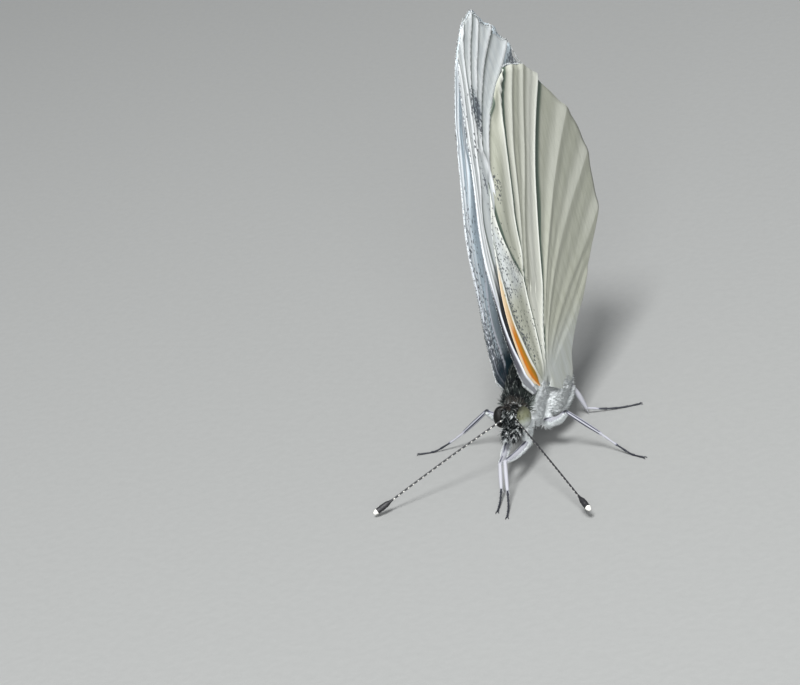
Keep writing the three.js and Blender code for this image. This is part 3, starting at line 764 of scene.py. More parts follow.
# ---- feelers ------------------------------------------------------------------------------
# Each feeler is a chain of some thirty short joints, black with a white ring of scales on each,
# and ends in a black club with a cream tip.
FEELER_ROOT, FEELER_BOW = Vector((0.28, -2.4, -1.0)), 0.08
FEELER_TIPS = {"left": Vector((7.3, -8.3, -4.15)), "right": Vector((7.4, -8.75, -4.55))}
FEELER_JOINTS, RINGS_PER_JOINT = 27, 6
RING_SIDE = (-0.85, -0.5, -0.1)  # the white rings are brightest on the inner and front side
FEELER_HALF, CLUB_HALF, CLUB_START = 0.055, 0.2, 0.86
feeler = Finish("feeler_rings", Roughness=0.5)
feeler_tone = feeler.mark("tone") + 0.3 * (feeler.cloud(0.00005) - 0.5)
feeler.wear(
    Base_Color=feeler.ramp(feeler_tone, [(0.0, (0.86, 0.85, 0.80)), (0.35, (0.70, 0.69, 0.64)),
                                         (0.55, (0.035, 0.036, 0.040)), (1.0, (0.008, 0.008, 0.010))]),
    Normal=feeler.relief(feeler.cloud(0.00003), 0.00001))
for name, side in SIDES.items():
    tip = FEELER_TIPS[name]
    total = FEELER_JOINTS * RINGS_PER_JOINT
    stops, shades = [], []
    for step in range(total + 1):
        t = step / total
        x, y, z = FEELER_ROOT + (tip - FEELER_ROOT) * t
        beat = (step % RINGS_PER_JOINT) / RINGS_PER_JOINT
        half = FEELER_HALF * (1.12 - 0.22 * abs(2 * beat - 1) ** 2)
        club = float(rise(t, CLUB_START, 0.93)) * math.sqrt(max(1 - float(rise(t, 0.955, 1.02)) ** 2, 0.05))
        half += (CLUB_HALF - FEELER_HALF) * club * (0.94 + 0.06 * beat)
        half *= 1 + 0.5 * (1 - float(rise(t, 0.0, 0.02)))
        stops.append((x * side + HEAD_SHIFT * (1 - t), y, z + FEELER_BOW * math.sin(math.pi * t), half))
        shades.append(0.12 if t > 0.985 else 0.97 if t > CLUB_START or beat >= 0.3 else 0.0)
    tube = draw_out(f"feeler_{name}", path_rings(stops, 1), 12)
    line = np.array([stop[:3] for stop in stops])
    way = line[-1] - line[0]
    t = ((points_of(tube) - line[0]) @ way) / (way @ way)
    facing = points_of(tube) - (line[0] + t[:, None] * way)
    facing = facing @ (np.array(RING_SIDE) * (side, 1, 1))
    topside = 1 - rise(facing / FEELER_HALF, 0.35, 0.7)
    tone = np.interp(t, np.linspace(0, 1, total + 1), shades)
    carry(tube, "tone", np.where(t > CLUB_START, tone, np.maximum(tone, 0.75 * topside)))
    set_in_frame(tube, feeler.material)
    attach(tube, "root")
    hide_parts(f"antenna_{name}", f"antenna_club_{name}")


# ---- legs ---------------------------------------------------------------------------------
# Six slender legs of jointed horn: a pale thigh with hair under it and fine dark lines, a pale
# shin with two spurs at its end, and a dark foot of five joints with bristles and two claws.
FLOOR = -4.9
TOE = FLOOR + 0.07
LEGS = {
    "foreleg": {
        "femur": [(0.75, -1.85, -3.08, 0.20), (0.75, -2.6, -3.08, 0.27), (0.74, -3.6, -3.0, 0.26),
                  (0.68, -5.2, -2.66, 0.17)],
        "tibia": [(0.68, -5.25, -2.66, 0.15), (0.86, -5.85, -3.34, 0.165), (1.05, -6.45, -4.0, 0.13)],
        "tarsus": [(1.05, -6.45, -4.0, 0.09), (1.38, -7.4, -4.62, 0.085), (1.65, -8.35, TOE, 0.075)],
    },
    "midleg": {
        "femur": [(0.95, 0.87, -2.95, 0.21), (1.5, 0.68, -2.85, 0.25), (1.95, 0.55, -2.7, 0.24),
                  (2.82, 0.34, -2.02, 0.15)],
        "tibia": [(2.82, 0.34, -2.02, 0.15), (3.86, 0.39, -2.86, 0.185), (4.9, 0.44, -3.69, 0.14)],
        "tarsus": [(4.9, 0.44, -3.69, 0.10), (6.2, 0.1, -4.46, 0.09), (7.1, -0.2, TOE, 0.085),
                   (7.95, -0.53, TOE, 0.075)],
    },
    "hindleg": {
        "femur": [(0.95, 2.77, -3.1, 0.22), (1.12, 3.5, -2.98, 0.27), (1.2, 4.0, -2.88, 0.26),
                  (1.3, 4.97, -2.56, 0.18)],
        "tibia": [(1.3, 5.0, -2.55, 0.17), (1.59, 5.18, -3.45, 0.23), (1.88, 5.3, -4.42, 0.15)],
        "tarsus": [(1.88, 5.3, -4.42, 0.11), (3.0, 5.75, -4.7, 0.095), (4.2, 6.25, TOE, 0.085),
                   (5.05, 6.68, TOE, 0.075)],
    },
}
REACHING_FORELEG = {
    "femur": [(0.62, -1.85, -3.12, 0.20), (0.48, -2.6, -3.2, 0.26), (0.3, -3.4, -3.28, 0.25),
              (-0.05, -4.75, -3.12, 0.17)],
    "tibia": [(-0.05, -4.8, -3.1, 0.15), (-0.17, -5.3, -3.68, 0.165), (-0.3, -5.8, -4.25, 0.13)],
    "tarsus": [(-0.3, -5.8, -4.25, 0.09), (-0.5, -6.7, -4.7, 0.085), (-0.72, -7.7, TOE, 0.075)],
}
LEG_SLIMMING = 0.8  # the legs inside their half-millimetre solids
# Angles of the dark lines round the limbs, and how much of each foot is white.
THIGH_LINES = {"foreleg": (1.75, 1.95), "midleg": (0.55,), "hindleg": (0.55,)}
SHIN_LINES = {"foreleg": (), "midleg": (-0.15, 1.0), "hindleg": ()}
WHITE_FOOT = {"foreleg": 0.0, "midleg": 0.33, "hindleg": 0.2}
THIGH_HAIRS, THIGH_FLUFF = 1300, {"foreleg": 0.28, "midleg": 0.5, "hindleg": 0.7}
# A claw's stops: how far ahead of the toe, aside and up, and its half width.
CLAW = [(0.0, 0.03, 0.0, 0.035), (0.12, 0.07, 0.03, 0.03), (0.21, 0.10, 0.0, 0.02),
        (0.25, 0.11, -0.05, 0.006)]
leg_finish = Finish("leg_scales", Roughness=0.55, Specular_IOR_Level=0.25)
leg_tone = leg_finish.mark("tone") + 0.12 * (leg_finish.cloud(0.00006) - 0.5)
leg_finish.wear(
    Base_Color=leg_finish.ramp(leg_tone, [(0.0, (0.35, 0.355, 0.385)), (0.3, (0.26, 0.265, 0.31)),
                                          (0.6, (0.05, 0.055, 0.075)), (1.0, (0.010, 0.011, 0.014))]),
    Normal=leg_finish.relief(leg_finish.cloud(0.00004), 0.00001))


def smooth_path(stops, count):
    """A softly curved path of count stops through the given ones."""
    stops = np.array(stops, float)
    run = np.concatenate([[0], np.cumsum(np.linalg.norm(np.diff(stops[:, :3], axis=0), axis=1))])
    slopes = np.gradient(stops, run, axis=0)
    result = []
    for place in np.linspace(0, run[-1], count):
        k = min(int(np.searchsorted(run, place, side="right")) - 1, len(run) - 2)
        span = run[k + 1] - run[k]
        t = (place - run[k]) / span
        a, b = 2 * t ** 3 - 3 * t ** 2 + 1, t ** 3 - 2 * t ** 2 + t
        c, d = 3 * t ** 2 - 2 * t ** 3, t ** 3 - t ** 2
        result.append(a * stops[k] + b * span * slopes[k] + c * stops[k + 1] + d * span * slopes[k + 1])
    return result


def spine(at, way, length, half):
    """A short stiff bristle or claw from a place, as the path of its tube."""
    way = Vector(way).normalized()
    return [(*(Vector(at) + way * length * t), half * (1 - 0.85 * t)) for t in (0, 0.5, 1)]


def dark_lines(places, first, last, lines, side):
    """Darkness along thin lines that run down a limb from first to last, at angles round it."""
    length = np.linalg.norm(last - first)
    way = (last - first) / length
    along = (places - first) @ way
    offset = places - (first + along[:, None] * way)
    across = np.cross(way, (0, 0, 1.0))
    across /= np.linalg.norm(across)
    around = np.arctan2(offset @ np.cross(across, way), (offset @ across) * side)
    inside = rise(along / length, 0.02, 0.1) * (1 - rise(along / length, 0.94, 1.02))
    inside = inside * (np.linalg.norm(offset, axis=1) < 0.4)
    tone = np.zeros(len(places))
    for line in lines:
        gap = np.abs((around - line + np.pi) % (2 * np.pi) - np.pi)
        tone = np.maximum(tone, 0.8 * (1 - rise(gap, 0.18, 0.42)) * inside)
    return tone


def shank(leg, name, side, shape):
    """Thigh and shin, with the shin's two spurs."""
    pieces = [draw_out(part, path_rings(smooth_path(shape[part], 14), 1), 20)
              for part in ("femur", "tibia")]
    start, knee, ankle = (np.array(stop[:3]) for stop in
                          (shape["femur"][0], shape["tibia"][0], shape["tibia"][-1]))
    end = Vector(shape["tibia"][-1][:3])
    run = (end - Vector(shape["tibia"][-2][:3])).normalized()
    for lean in (-1, 1):
        way = run + lean * 0.45 * run.cross(Vector((0, 0, 1))).normalized() + Vector((0, 0, -0.25))
        pieces.append(draw_out("spur", path_rings(spine(end - run * 0.05, way, 0.42, 0.035), 1), 8))
    limb = join(pieces, f"{leg}_{name}_shank")
    places = points_of(limb)
    tone = np.maximum(dark_lines(places, start, knee, THIGH_LINES[leg], side),
                      dark_lines(places, knee, ankle, SHIN_LINES[leg], side))
    tone = np.maximum(tone, 0.04)
    if leg == "midleg":
        tone = np.maximum(tone, 0.95 * (1 - rise(np.linalg.norm(places - knee, axis=1), 0.13, 0.24)))
    carry(limb, "tone", tone)
    return limb


def under_thigh(stops, fluff, rng):
    """The hair under one thigh, thickest near the body: roots, normals, lie and lengths."""
    path = np.array(smooth_path(stops, 40))
    t = rng.random(THIGH_HAIRS) ** 1.6
    at = np.stack([np.interp(t * 39, np.arange(40), path[:, axis]) for axis in range(4)], 1)
    turn = rng.uniform(-0.62, 0.62, THIGH_HAIRS) * math.pi - math.pi / 2
    way = unit(path[-1:, :3] - path[:1, :3])
    across = unit(np.cross(way, (0, 0, 1)))
    normals = np.cos(turn)[:, None] * across + np.sin(turn)[:, None] * np.cross(across, way)
    lie = way + (0, 0, -0.9) + rng.normal(0, 0.15, (THIGH_HAIRS, 3))
    length = (1 - 0.6 * t) * fluff * rng.uniform(0.8, 1.2, THIGH_HAIRS)
    return at[:, :3] + normals * at[:, 3:] * 0.9, normals, lie, length


def foot(leg, name, stops):
    """Five swelling joints along the path, with bristles beside them and two hooked claws."""
    joints = []
    for step, (x, y, z, half) in enumerate(smooth_path(stops, 41)):
        swell = 0.72 + 0.42 * ((step % 8) / 8) ** 1.5
        joints.append((x, y, max(z, FLOOR + half * swell + 0.002), half * swell))
    places = [Vector(joint[:3]) for joint in joints]
    pieces = [draw_out("foot", path_rings(joints, 1), 14)]
    for step in range(4, 40, 4):
        ahead = (places[step + 1] - places[step]).normalized()
        across = ahead.cross(Vector((0, 0, 1)))
        for lean in (-1, 1):
            way = ahead + across * lean * 0.8 + Vector((0, 0, 0.05))
            pieces.append(draw_out("bristle", path_rings(spine(places[step], way, 0.17, 0.018), 1), 5))
    ahead = (places[-1] - places[-6]).normalized()
    across = ahead.cross(Vector((0, 0, 1)))
    for lean in (-1, 1):
        hook = [(*(places[-1] + ahead * reach + across * lean * out + Vector((0, 0, drop))), half)
                for reach, out, drop, half in CLAW]
        pieces.append(draw_out("claw", path_rings(hook, 2), 7))
    piece = join(pieces, f"{leg}_{name}_foot")
    ankle, toe = np.array(stops[0][:3]), np.array(joints[-1][:3])
    run = np.linalg.norm(points_of(piece) - ankle, axis=1) / np.linalg.norm(toe - ankle)
    carry(piece, "tone", 0.10 + 0.8 * rise(run, WHITE_FOOT[leg], WHITE_FOOT[leg] + 0.08))
    return piece


thigh_hairs = []
rng = np.random.default_rng(23)
for leg, sections in LEGS.items():
    for name, side in SIDES.items():
        shape = REACHING_FORELEG if leg == "foreleg" and side < 0 else sections
        shape = {part: [(x * side, y, z, half * LEG_SLIMMING) for x, y, z, half in stops]
                 for part, stops in shape.items()}
        limb = shank(leg, name, side, shape)
        set_in_frame(limb, leg_finish.material)
        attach(limb, "root")
        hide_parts(f"{leg}_femur_{name}", f"{leg}_tibia_{name}")
        thigh_hairs.append(under_thigh(shape["femur"], THIGH_FLUFF[leg], rng))
        piece = foot(leg, name, shape["tarsus"])
        set_in_frame(piece, leg_finish.material)
        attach(piece, "root")
        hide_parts(f"{leg}_tarsus_{name}")

roots, normals, lie, length = (np.concatenate(part) for part in zip(*thigh_hairs))
hair = tufts("coat_thighs", roots, normals, lie, length, 0.06, rng.uniform(0.5, 1.0, len(roots)),
             0.16 + 0.08 * rng.random(len(roots)), unwrap, rng, bends=3)
set_in_frame(hair, thorax_fur)
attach(hair, "root")


# ---- wings --------------------------------------------------------------------------------
# Four sheets of clear membrane a few hundredths of a millimetre thick, stretched over raised
# veins, pleated between them, and shingled on both faces with tiny scales that give the colour.
# Plans are y, z from the hinge; the leading edge comes first, then the outer margin. Behind each
# vein the membrane falls away and then climbs to the next one. A plan's form has four numbers for
# each vein: how steeply it falls behind the vein, how crisp the fold is, how much of the climb to
# the vein carries a painted highlight, and the vein's half width.
SHEET_THICKNESS = 0.05
COSTA_HALF = 0.085
FOREWING_UNDERSIDE = (0.50, 0.53, 0.53)
FOREWING = {
    "base": (0.45, -0.4),
    "margin": [
        (-0.15, -0.55), (-0.6, 0.02), (-1.12, 0.62), (-1.38, 1.25), (-1.54, 2.05), (-1.72, 3.1),
        (-1.88, 4.2), (-1.94, 5.3), (-1.92, 6.5), (-1.89, 7.8), (-1.85, 9.1), (-1.76, 10.4), (-1.58, 11.6),
        (-1.24, 13.0), (-0.84, 14.6), (-0.42, 16.6), (-0.08, 18.2), (0.32, 19.8), (0.65, 20.9),
        (1.05, 21.75), (1.6, 22.5), (2.2, 23.1), (2.9, 23.6), (3.7, 23.92), (4.45, 23.88), (5.4, 23.0),
        (6.7, 22.1), (7.4, 21.4), (8.35, 20.5), (9.5, 18.6), (11.6, 15.1), (13.8, 11.6), (14.2, 10.3),
        (13.3, 9.1), (9.0, 5.3), (4.6, 2.3), (1.6, 0.2)],
    "veins": [
        [(0.0, 0.1), (-0.9, 1.9), (-1.2, 3.8), (-1.35, 6.2), (-1.33, 9.0), (-1.12, 11.4), (-0.62, 14.0),
         (-0.12, 16.5), (0.29, 18.39), (0.6, 19.28), (0.8, 20.0), (1.0, 20.8), (1.12, 21.7)],
        [(0.1, 0.2), (-0.55, 2.4), (-0.85, 5.4), (-0.95, 8.2), (-0.98, 10.6), (-0.85, 12.2), (-0.5, 13.0),
         (-0.16, 13.75), (0.2, 14.87), (0.43, 15.8), (0.75, 17.2), (1.13, 18.55), (1.34, 19.49),
         (1.55, 20.42), (1.81, 21.33), (2.05, 22.1), (2.45, 22.9), (2.95, 23.6)],
        [(0.75, 16.2), (1.2, 17.6), (1.6, 18.9), (2.06, 20.21), (2.75, 21.47), (3.3, 22.3), (3.85, 23.0),
         (4.4, 23.85)],
        [(1.0, 16.6), (1.52, 17.88), (2.3, 19.05), (2.88, 19.89), (3.34, 20.73), (3.95, 21.51), (4.5, 22.3),
         (5.0, 23.2)],
        [(1.3, 15.9), (1.9, 17.1), (2.63, 18.29), (3.2, 19.1), (3.65, 19.65), (4.15, 20.2), (4.7, 20.71),
         (5.35, 21.2), (6.7, 22.1)],
        [(1.75, 14.6), (3.0, 16.8), (4.2, 17.9), (5.19, 18.55), (6.6, 19.3), (8.35, 20.5)],
        [(1.9, 12.6), (4.0, 14.8), (9.7, 18.1)],
        [(1.75, 10.4), (5.0, 12.4), (11.5, 15.3)],
        [(1.35, 7.2), (5.5, 9.6), (13.4, 12.2)],
        [(0.95, 0.3), (0.75, 0.98), (0.18, 2.9), (-0.22, 4.8), (-0.2, 7.0), (0.15, 8.7), (0.75, 10.5),
         (1.5, 12.2), (1.75, 14.0), (1.3, 15.9), (0.75, 16.2)],
        [(0.5, 0.1), (2.2, 2.6), (5.5, 5.2), (13.6, 9.8)]],
    "form": [(0.06, 1, 0.5, 0.07), (0.09, 1, 0.4, 0.08), (0.12, 1, 0.3, 0.09), (0.09, 0.7, 0.3, 0.09),
             (0.14, 1, 0.25, 0.10), (0.26, 1, 0.25, 0.10), (0.12, 1, 0.3, 0.09), (0.1, 1, 0.3, 0.09),
             (0.08, 1, 0.3, 0.09), (0.08, 1, 0.3, 0.08), (0.08, 1, 0.3, 0.09)],
    "lift": 0.0,
    "grid": (580, 75),  # spokes of the fan and rings across them
    "tip_back": 0.45,  # the right forewing's tip lies a little further back than the left one's
    "front_back": 0.4,  # and so does its front edge near the body
    "costa": [(-0.1, 0.1), (-0.3, 0.5), (-0.66, 1.06), (-0.88, 1.8), (-1.03, 2.35), (-1.22, 3.0),
              (-1.38, 3.65), (-1.55, 4.6), (-1.64, 5.45), (-1.7, 6.3), (-1.75, 7.3), (-1.77, 8.2),
              (-1.77, 9.2), (-1.7, 10.4), (-1.52, 11.6), (-1.2, 13.0), (-0.8, 14.6), (-0.38, 16.6),
              (-0.04, 18.2), (0.36, 19.8)],
    "ridge": 0.05,
    "crease": 0.04,  # how much wider the painted shade is in the deepest folds
    "scallop": 0.14,
}
HINDWING = {
    "base": (1.5, -0.8),
    "margin": [
        (0.81, -0.5), (0.05, 0.2), (-0.38, 0.84), (-0.6, 1.57), (-0.74, 2.22), (-0.84, 2.85), (-0.92, 3.5),
        (-0.98, 4.3), (-1.0, 5.2), (-0.96, 6.2), (-0.82, 7.3), (-0.58, 8.4), (-0.2, 10.1), (0.2, 11.3),
        (1.3, 13.9), (2.9, 16.6),
        (4.35, 18.5), (6.1, 19.4), (8.0, 19.05), (9.7, 18.2), (11.2, 16.75), (13.9, 13.7), (15.1, 11.8),
        (15.65, 9.6), (15.5, 8.0), (15.15, 5.9), (14.1, 4.95), (11.6, 3.35), (9.6, 1.95), (7.4, 0.85),
        (5.7, -0.4), (4.9, -1.7), (3.4, -2.1)],
    "veins": [
        [(0.88, 0.2), (0.52, 0.8), (0.24, 1.48), (0.06, 2.1), (-0.1, 2.8), (-0.27, 3.6), (-0.43, 4.4),
         (-0.51, 5.2), (-0.52, 6.2), (-0.46, 7.4), (-0.38, 8.6), (-0.2, 10.0)],
        [(1.25, 0.3), (1.45, 1.4), (1.6, 3.0), (1.69, 4.5), (1.78, 5.9), (1.95, 6.5), (1.75, 7.07),
         (1.3, 7.99), (0.9, 8.98), (0.7, 9.88), (0.64, 11.0), (0.77, 12.5), (1.34, 14.62), (2.22, 16.06),
         (3.73, 18.18)],
        [(1.95, 6.5), (2.22, 7.28), (2.5, 8.0), (2.63, 8.8), (2.72, 10.3), (3.1, 11.74), (3.45, 13.3),
         (3.95, 15.35), (4.74, 17.87), (6.1, 19.4)],
        [(2.3, 7.4), (3.2, 9.2), (3.85, 11.0), (4.35, 12.8), (4.8, 14.5), (5.5, 16.0), (6.2, 17.4),
         (7.4, 19.2)],
        [(2.4, 6.6), (3.45, 8.7), (4.3, 10.3), (5.26, 11.9), (6.2, 13.6), (7.1, 15.5), (8.0, 17.2),
         (8.9, 18.7)],
        [(1.6, 0.6), (2.3, 2.0), (2.85, 3.0), (3.45, 3.95), (4.05, 4.9), (4.5, 5.95), (5.15, 7.55),
         (5.75, 8.95), (6.3, 10.2), (6.95, 11.75), (7.9, 13.5), (9.1, 15.3), (10.7, 17.3)],
        [(3.2, 3.0), (5.06, 5.4), (7.62, 8.3), (10.98, 11.5), (13.9, 13.7)],
        [(1.8, 0.4), (3.23, 2.3), (5.97, 4.9), (9.53, 7.1), (15.5, 9.8)],
        [(1.9, 0.2), (3.75, 1.6), (7.39, 3.3), (11.56, 4.6), (15.15, 5.9)],
        [(2.0, 0.0), (4.69, 0.66), (7.26, 1.37), (11.0, 2.9)]],
    "form": [(0.06, 0.9, 0.3, 0.035), (0.14, 1, 0.3, 0.05), (0.16, 1, 0.35, 0.06), (0.07, 0.35, 0.6, 0.08),
             (0.06, 0.2, 0.5, 0.08), (0.18, 1, 0.9, 0.085), (0.05, 0.1, 0.5, 0.08), (0.05, 0.1, 0.5, 0.08),
             (0.04, 0, 0.5, 0.08), (0.03, 0, 0.5, 0.08)],
    "lift": 0.31,
    "grid": (880, 50),
    "tip_back": 0.0,
    "front_back": 0.0,
    "costa": [],  # it has no stiff rib along its front edge
    "ridge": 0.045,
    "crease": 0.42,
    "scallop": 0.1,
}
ORANGE_EDGE = [(0.9, -0.6), (0.73, -0.2), (0.62, 0.32), (0.38, 0.95), (0.15, 1.48), (-0.03, 2.1),
               (-0.2, 2.8), (-0.37, 3.6), (-0.49, 4.5), (-0.57, 5.6), (-0.56, 7.0), (-0.4, 8.6)]
ROOT_HAIRS = 1900  # white hair over each hindwing where it leaves the body
WIDEST_PLEAT = 1.4
NO_VEIN = 9.0  # the distance that stands for none on that side
FRONT_GAP, FRONT_BEND = 0.05, 1.4  # the hindwing lies close at its front edge and stands off behind it


def rounded(points, count):
    """A smooth line through the points, with count places evenly spread along it."""
    points = np.array(points, float)
    knots = np.concatenate([[0], np.cumsum(np.linalg.norm(np.diff(points, axis=0), axis=1) ** 0.5)])
    slopes = np.empty_like(points)
    slopes[1:-1] = ((points[1:-1] - points[:-2]) / np.diff(knots)[:-1, None] * np.diff(knots)[1:, None]
                    + (points[2:] - points[1:-1]) / np.diff(knots)[1:, None] * np.diff(knots)[:-1, None]
                    ) / (knots[2:] - knots[:-2])[:, None]
    slopes[0] = (points[1] - points[0]) / (knots[1] - knots[0])
    slopes[-1] = (points[-1] - points[-2]) / (knots[-1] - knots[-2])
    places = np.linspace(0, knots[-1], 40 * len(points))
    k = np.clip(np.searchsorted(knots, places, side="right") - 1, 0, len(knots) - 2)
    span = (knots[k + 1] - knots[k])[:, None]
    t = (places[:, None] - knots[k][:, None]) / span
    line = ((2 * t ** 3 - 3 * t ** 2 + 1) * points[k] + (t ** 3 - 2 * t ** 2 + t) * span * slopes[k]
            + (3 * t ** 2 - 2 * t ** 3) * points[k + 1] + (t ** 3 - t ** 2) * span * slopes[k + 1])
    run = np.concatenate([[0], np.cumsum(np.linalg.norm(np.diff(line, axis=0), axis=1))])
    even = np.linspace(0, run[-1], count)
    return np.stack([np.interp(even, run, line[:, axis]) for axis in range(2)], 1)


def line_distance(places, line):
    """Distance from places to a line of points, and on which side of it they lie."""
    best, side = np.full(len(places), 1e9), np.zeros(len(places))
    for start, end in zip(line, line[1:]):
        step = end - start
        t = np.clip(((places - start) @ step) / (step @ step), 0, 1)
        offset = places - start - t[:, None] * step
        distance = np.linalg.norm(offset, axis=1)
        closer = distance < best
        turn = offset[:, 0] * step[1] - offset[:, 1] * step[0]
        best, side = np.where(closer, distance, best), np.where(closer, np.sign(turn), side)
    return best, side


def forewing_sheet(z):
    return 1.1 * np.exp(-z / 13) - 0.1 * rise(z, 17, 23) + 0.07 * rise(z, 9, 15)


def hindwing_sheet(z):
    return forewing_sheet(z) + FRONT_GAP


def under_hindwing(places):
    """How far the hindwing presses the forewing's veins flat."""
    return 0.8 * (1 - rise(places[:, 1], 9, 16))


def uncovered(places):
    return np.zeros(len(places))


def scalloped(plan):
    """The wing's outline: smooth along the front, and drawn in between the vein ends behind it."""
    spokes = plan["grid"][0]
    margin = rounded(plan["margin"], spokes)
    ends = np.array([vein[-1] for vein in plan["veins"]])
    away = np.linalg.norm(margin[:, None] - ends[None], axis=2).min(1)
    inward = unit(np.array(plan["base"]) - margin)
    run = np.arange(spokes) / spokes
    outer = rise(run, 0.38, 0.45) * (1 - rise(run, 0.80, 0.86))
    return margin + inward * (plan["scallop"] * rise(away, 0.1, 0.9) * outer)[:, None]


def swept(plan, places, side):
    """The plan's places where that side's wing has them."""
    if side > 0:
        return places
    lead = line_distance(places, rounded(plan["margin"], 600)[:150:3])[0]
    back = plan["front_back"] * (1 - rise(places[:, 1], 5, 12)) * (1 - rise(lead, 0, 1.2))
    back += plan["tip_back"] * rise(places[:, 1], 17.5, 22)
    return places + np.column_stack([back, back * 0])


def between_veins(plan, places):
    """Distances to the vein in front and to the one behind, and the form of each of the two."""
    sides = [line_distance(places, rounded(vein, 24)) for vein in plan["veins"]]
    in_front = np.stack([np.where(turn > 0, distance, NO_VEIN) for distance, turn in sides], 1)
    behind = np.stack([np.where(turn <= 0, distance, NO_VEIN) for distance, turn in sides], 1)
    form = np.array(plan["form"])
    return in_front.min(1), behind.min(1), form[in_front.argmin(1)].T, form[behind.argmin(1)].T


def evened(values, grid):
    """Each spoke's values, averaged with those of the spokes beside it."""
    values = values.reshape(grid)
    return ((values + np.roll(values, 1, 0) + np.roll(values, -1, 0)) / 3).reshape(-1)


def two_faced(name, outer, inner, grid):
    """A closed sheet with two faces over the same grid."""
    other = len(outer)
    index = np.arange(other).reshape(grid)
    front = np.stack([index[:-1, :-1], index[:-1, 1:], index[1:, 1:], index[1:, :-1]], -1).reshape(-1, 4)
    border = np.concatenate([index[0, :], index[1:, -1], index[-1, -2::-1], index[-2:0:-1, 0]])
    following = np.roll(border, -1)
    rim = np.stack([border, border + other, following + other, following], -1)
    mesh = bpy.data.meshes.new(name)
    mesh.from_pydata(np.concatenate([outer, inner]).tolist(), [],
                     np.concatenate([front, front[:, ::-1] + other, rim]).tolist())
    piece = new_piece(name, mesh)
    choose(piece)
    bpy.ops.object.mode_set(mode="EDIT")
    bpy.ops.mesh.select_all(action="SELECT")
    bpy.ops.mesh.normals_make_consistent(inside=False)
    bpy.ops.object.mode_set(mode="OBJECT")
    return piece


def mark_faces(piece, name, outer=0, inner=0):
    """Writes numbers for the outer and the inner face of a wing."""
    count = len(piece.data.vertices) // 2
    carry(piece, name, np.concatenate([np.broadcast_to(face, count) for face in (outer, inner)]))


def wing(name, plan, side, sheet, covered, rng):
    """One wing: a fan from its base to its margin on each face, shaped by its veins."""
    base, margin = np.array(plan["base"]), scalloped(plan)
    grid = spokes, ring_count = plan["grid"]
    reach = np.linspace(0, 1, ring_count) ** 0.92 * 0.985 + 0.015
    places = (base + (margin[:, None] - base) * reach[None, :, None]).reshape(-1, 2)
    ahead, behind, (fall, crisp, _, half), (_, next_crisp, band, next_half) = between_veins(plan, places)
    nearest = np.minimum(ahead, behind)
    near_crisp = np.where(ahead < behind, crisp, next_crisp)
    edge = line_distance(places, margin[::4])[0]
    root = np.linalg.norm(places - base, axis=1)
    across = ahead / (ahead + behind)
    gap = np.minimum(ahead + behind, WIDEST_PLEAT)

    slope = np.clip(across / (0.12 + 0.5 * (1 - crisp)), 0, 1)
    depth = evened(fall * gap * slope * slope * (3 - 2 * slope) * (1 - across ** 2), grid)
    fold = 0.012 * gap * np.cos(across * 4 * math.pi)
    wrinkle = np.convolve(rng.normal(0, 1, spokes), np.hanning(13) / 6, "same")
    wrinkle = 0.008 * np.repeat(wrinkle, ring_count) * rise(root, 3, 10) * rise(edge, 0, 1)
    free = rise(root, 0.6, 3.0) * (1 - covered(places))
    width = np.where(ahead < behind, half, next_half) * (1 + 0.6 * np.exp(-root / 5))
    ridge = np.exp(-(nearest / width) ** 2) * rise(root, 0.2, 0.9) * near_crisp
    ridge *= 1 - 0.6 * covered(places)
    costa = np.zeros(len(places))
    if plan["costa"]:
        costa += np.exp(-(line_distance(places, rounded(plan["costa"], 60))[0] / COSTA_HALF) ** 2)
        costa *= 1 - 0.7 * rise(places[:, 1], 7, 20)
    stand_off = plan["lift"] * rise(line_distance(places, margin[:int(spokes * 0.34)])[0], 0, FRONT_BEND)
    middle = sheet(places[:, 1]) + stand_off + free * (fold + wrinkle - depth)
    outer = middle + SHEET_THICKNESS / 2 + plan["ridge"] * ridge + 0.09 * costa
    inner = middle - SHEET_THICKNESS / 2 - 0.4 * plan["ridge"] * ridge - 0.05 * costa
    rim = np.exp(-edge / 0.03) * 0.3 * (outer - inner)
    bent = swept(plan, places, side)
    piece = two_faced(name, np.column_stack([(outer - rim) * side, bent]),
                      np.column_stack([(inner + rim) * side, bent]), grid)

    # Painted shade in the bottom of a fold, from where the vein no longer hides it.
    hidden = 1.9 * depth.clip(0) * (across < 0.5) + 0.04
    wide = 0.08 + plan["crease"] * rise(fall, 0.13, 0.19)
    crease = crisp ** 2 * np.clip(fall / 0.12, 0, 1) * (1 - rise(ahead, hidden + wide, hidden + 2 * wide))
    crease *= (0.35 + 0.65 * rise(ahead, 0.3 * hidden, 0.9 * hidden)) * (1 - rise(across, 0.5, 0.8))
    crease = evened(crease * rise(ahead, 0.02, 0.07) * rise(root, 1.0, 3.0), grid)
    mark_faces(piece, "crease", crease, 0.25 * crease)
    vein = np.exp(-(nearest / (width * 1.2)) ** 2) * near_crisp * rise(root, 1.6, 2.6)
    mark_faces(piece, "vein", vein, vein)
    # Painted highlight: the slope that climbs to the next vein faces the light, and is laid in a paler
    # colour.
    climb = np.clip((across - 1 + band) / np.minimum(band, 0.4), 0, 1)
    climb *= climb * (3 - 2 * climb) * rise(gap, 0.1, 0.6)
    climb *= next_crisp + (1 - next_crisp) * 0.6 * rise(root, 9, 15)
    mark_faces(piece, "climb", climb, climb)
    costa *= 1 - 0.8 * rise(places[:, 1], 6, 11)
    mark_faces(piece, "costa", costa, costa)
    mark_faces(piece, "underside", 1)
    return piece, places, margin


def spot(places, y, z, half_y, half_z, soft=0.5):
    away = np.hypot((places[:, 0] - y) / half_y, (places[:, 1] - z) / half_z)
    return 1 - rise(away, 1 - soft, 1 + soft)


# The colours that a wing's marks lay over its ground, in their order. Brow and shade are painted shade;
# deep is partly dark scales and partly painted shade.
WING_MARKS = {"deep": (0.024, 0.062, 0.082), "glow": (0.68, 0.52, 0.33), "ember": (0.50, 0.155, 0.003),
              "olive": (0.16, 0.13, 0.012), "brow": (0.095, 0.095, 0.115), "shade": (0.008, 0.011, 0.014)}


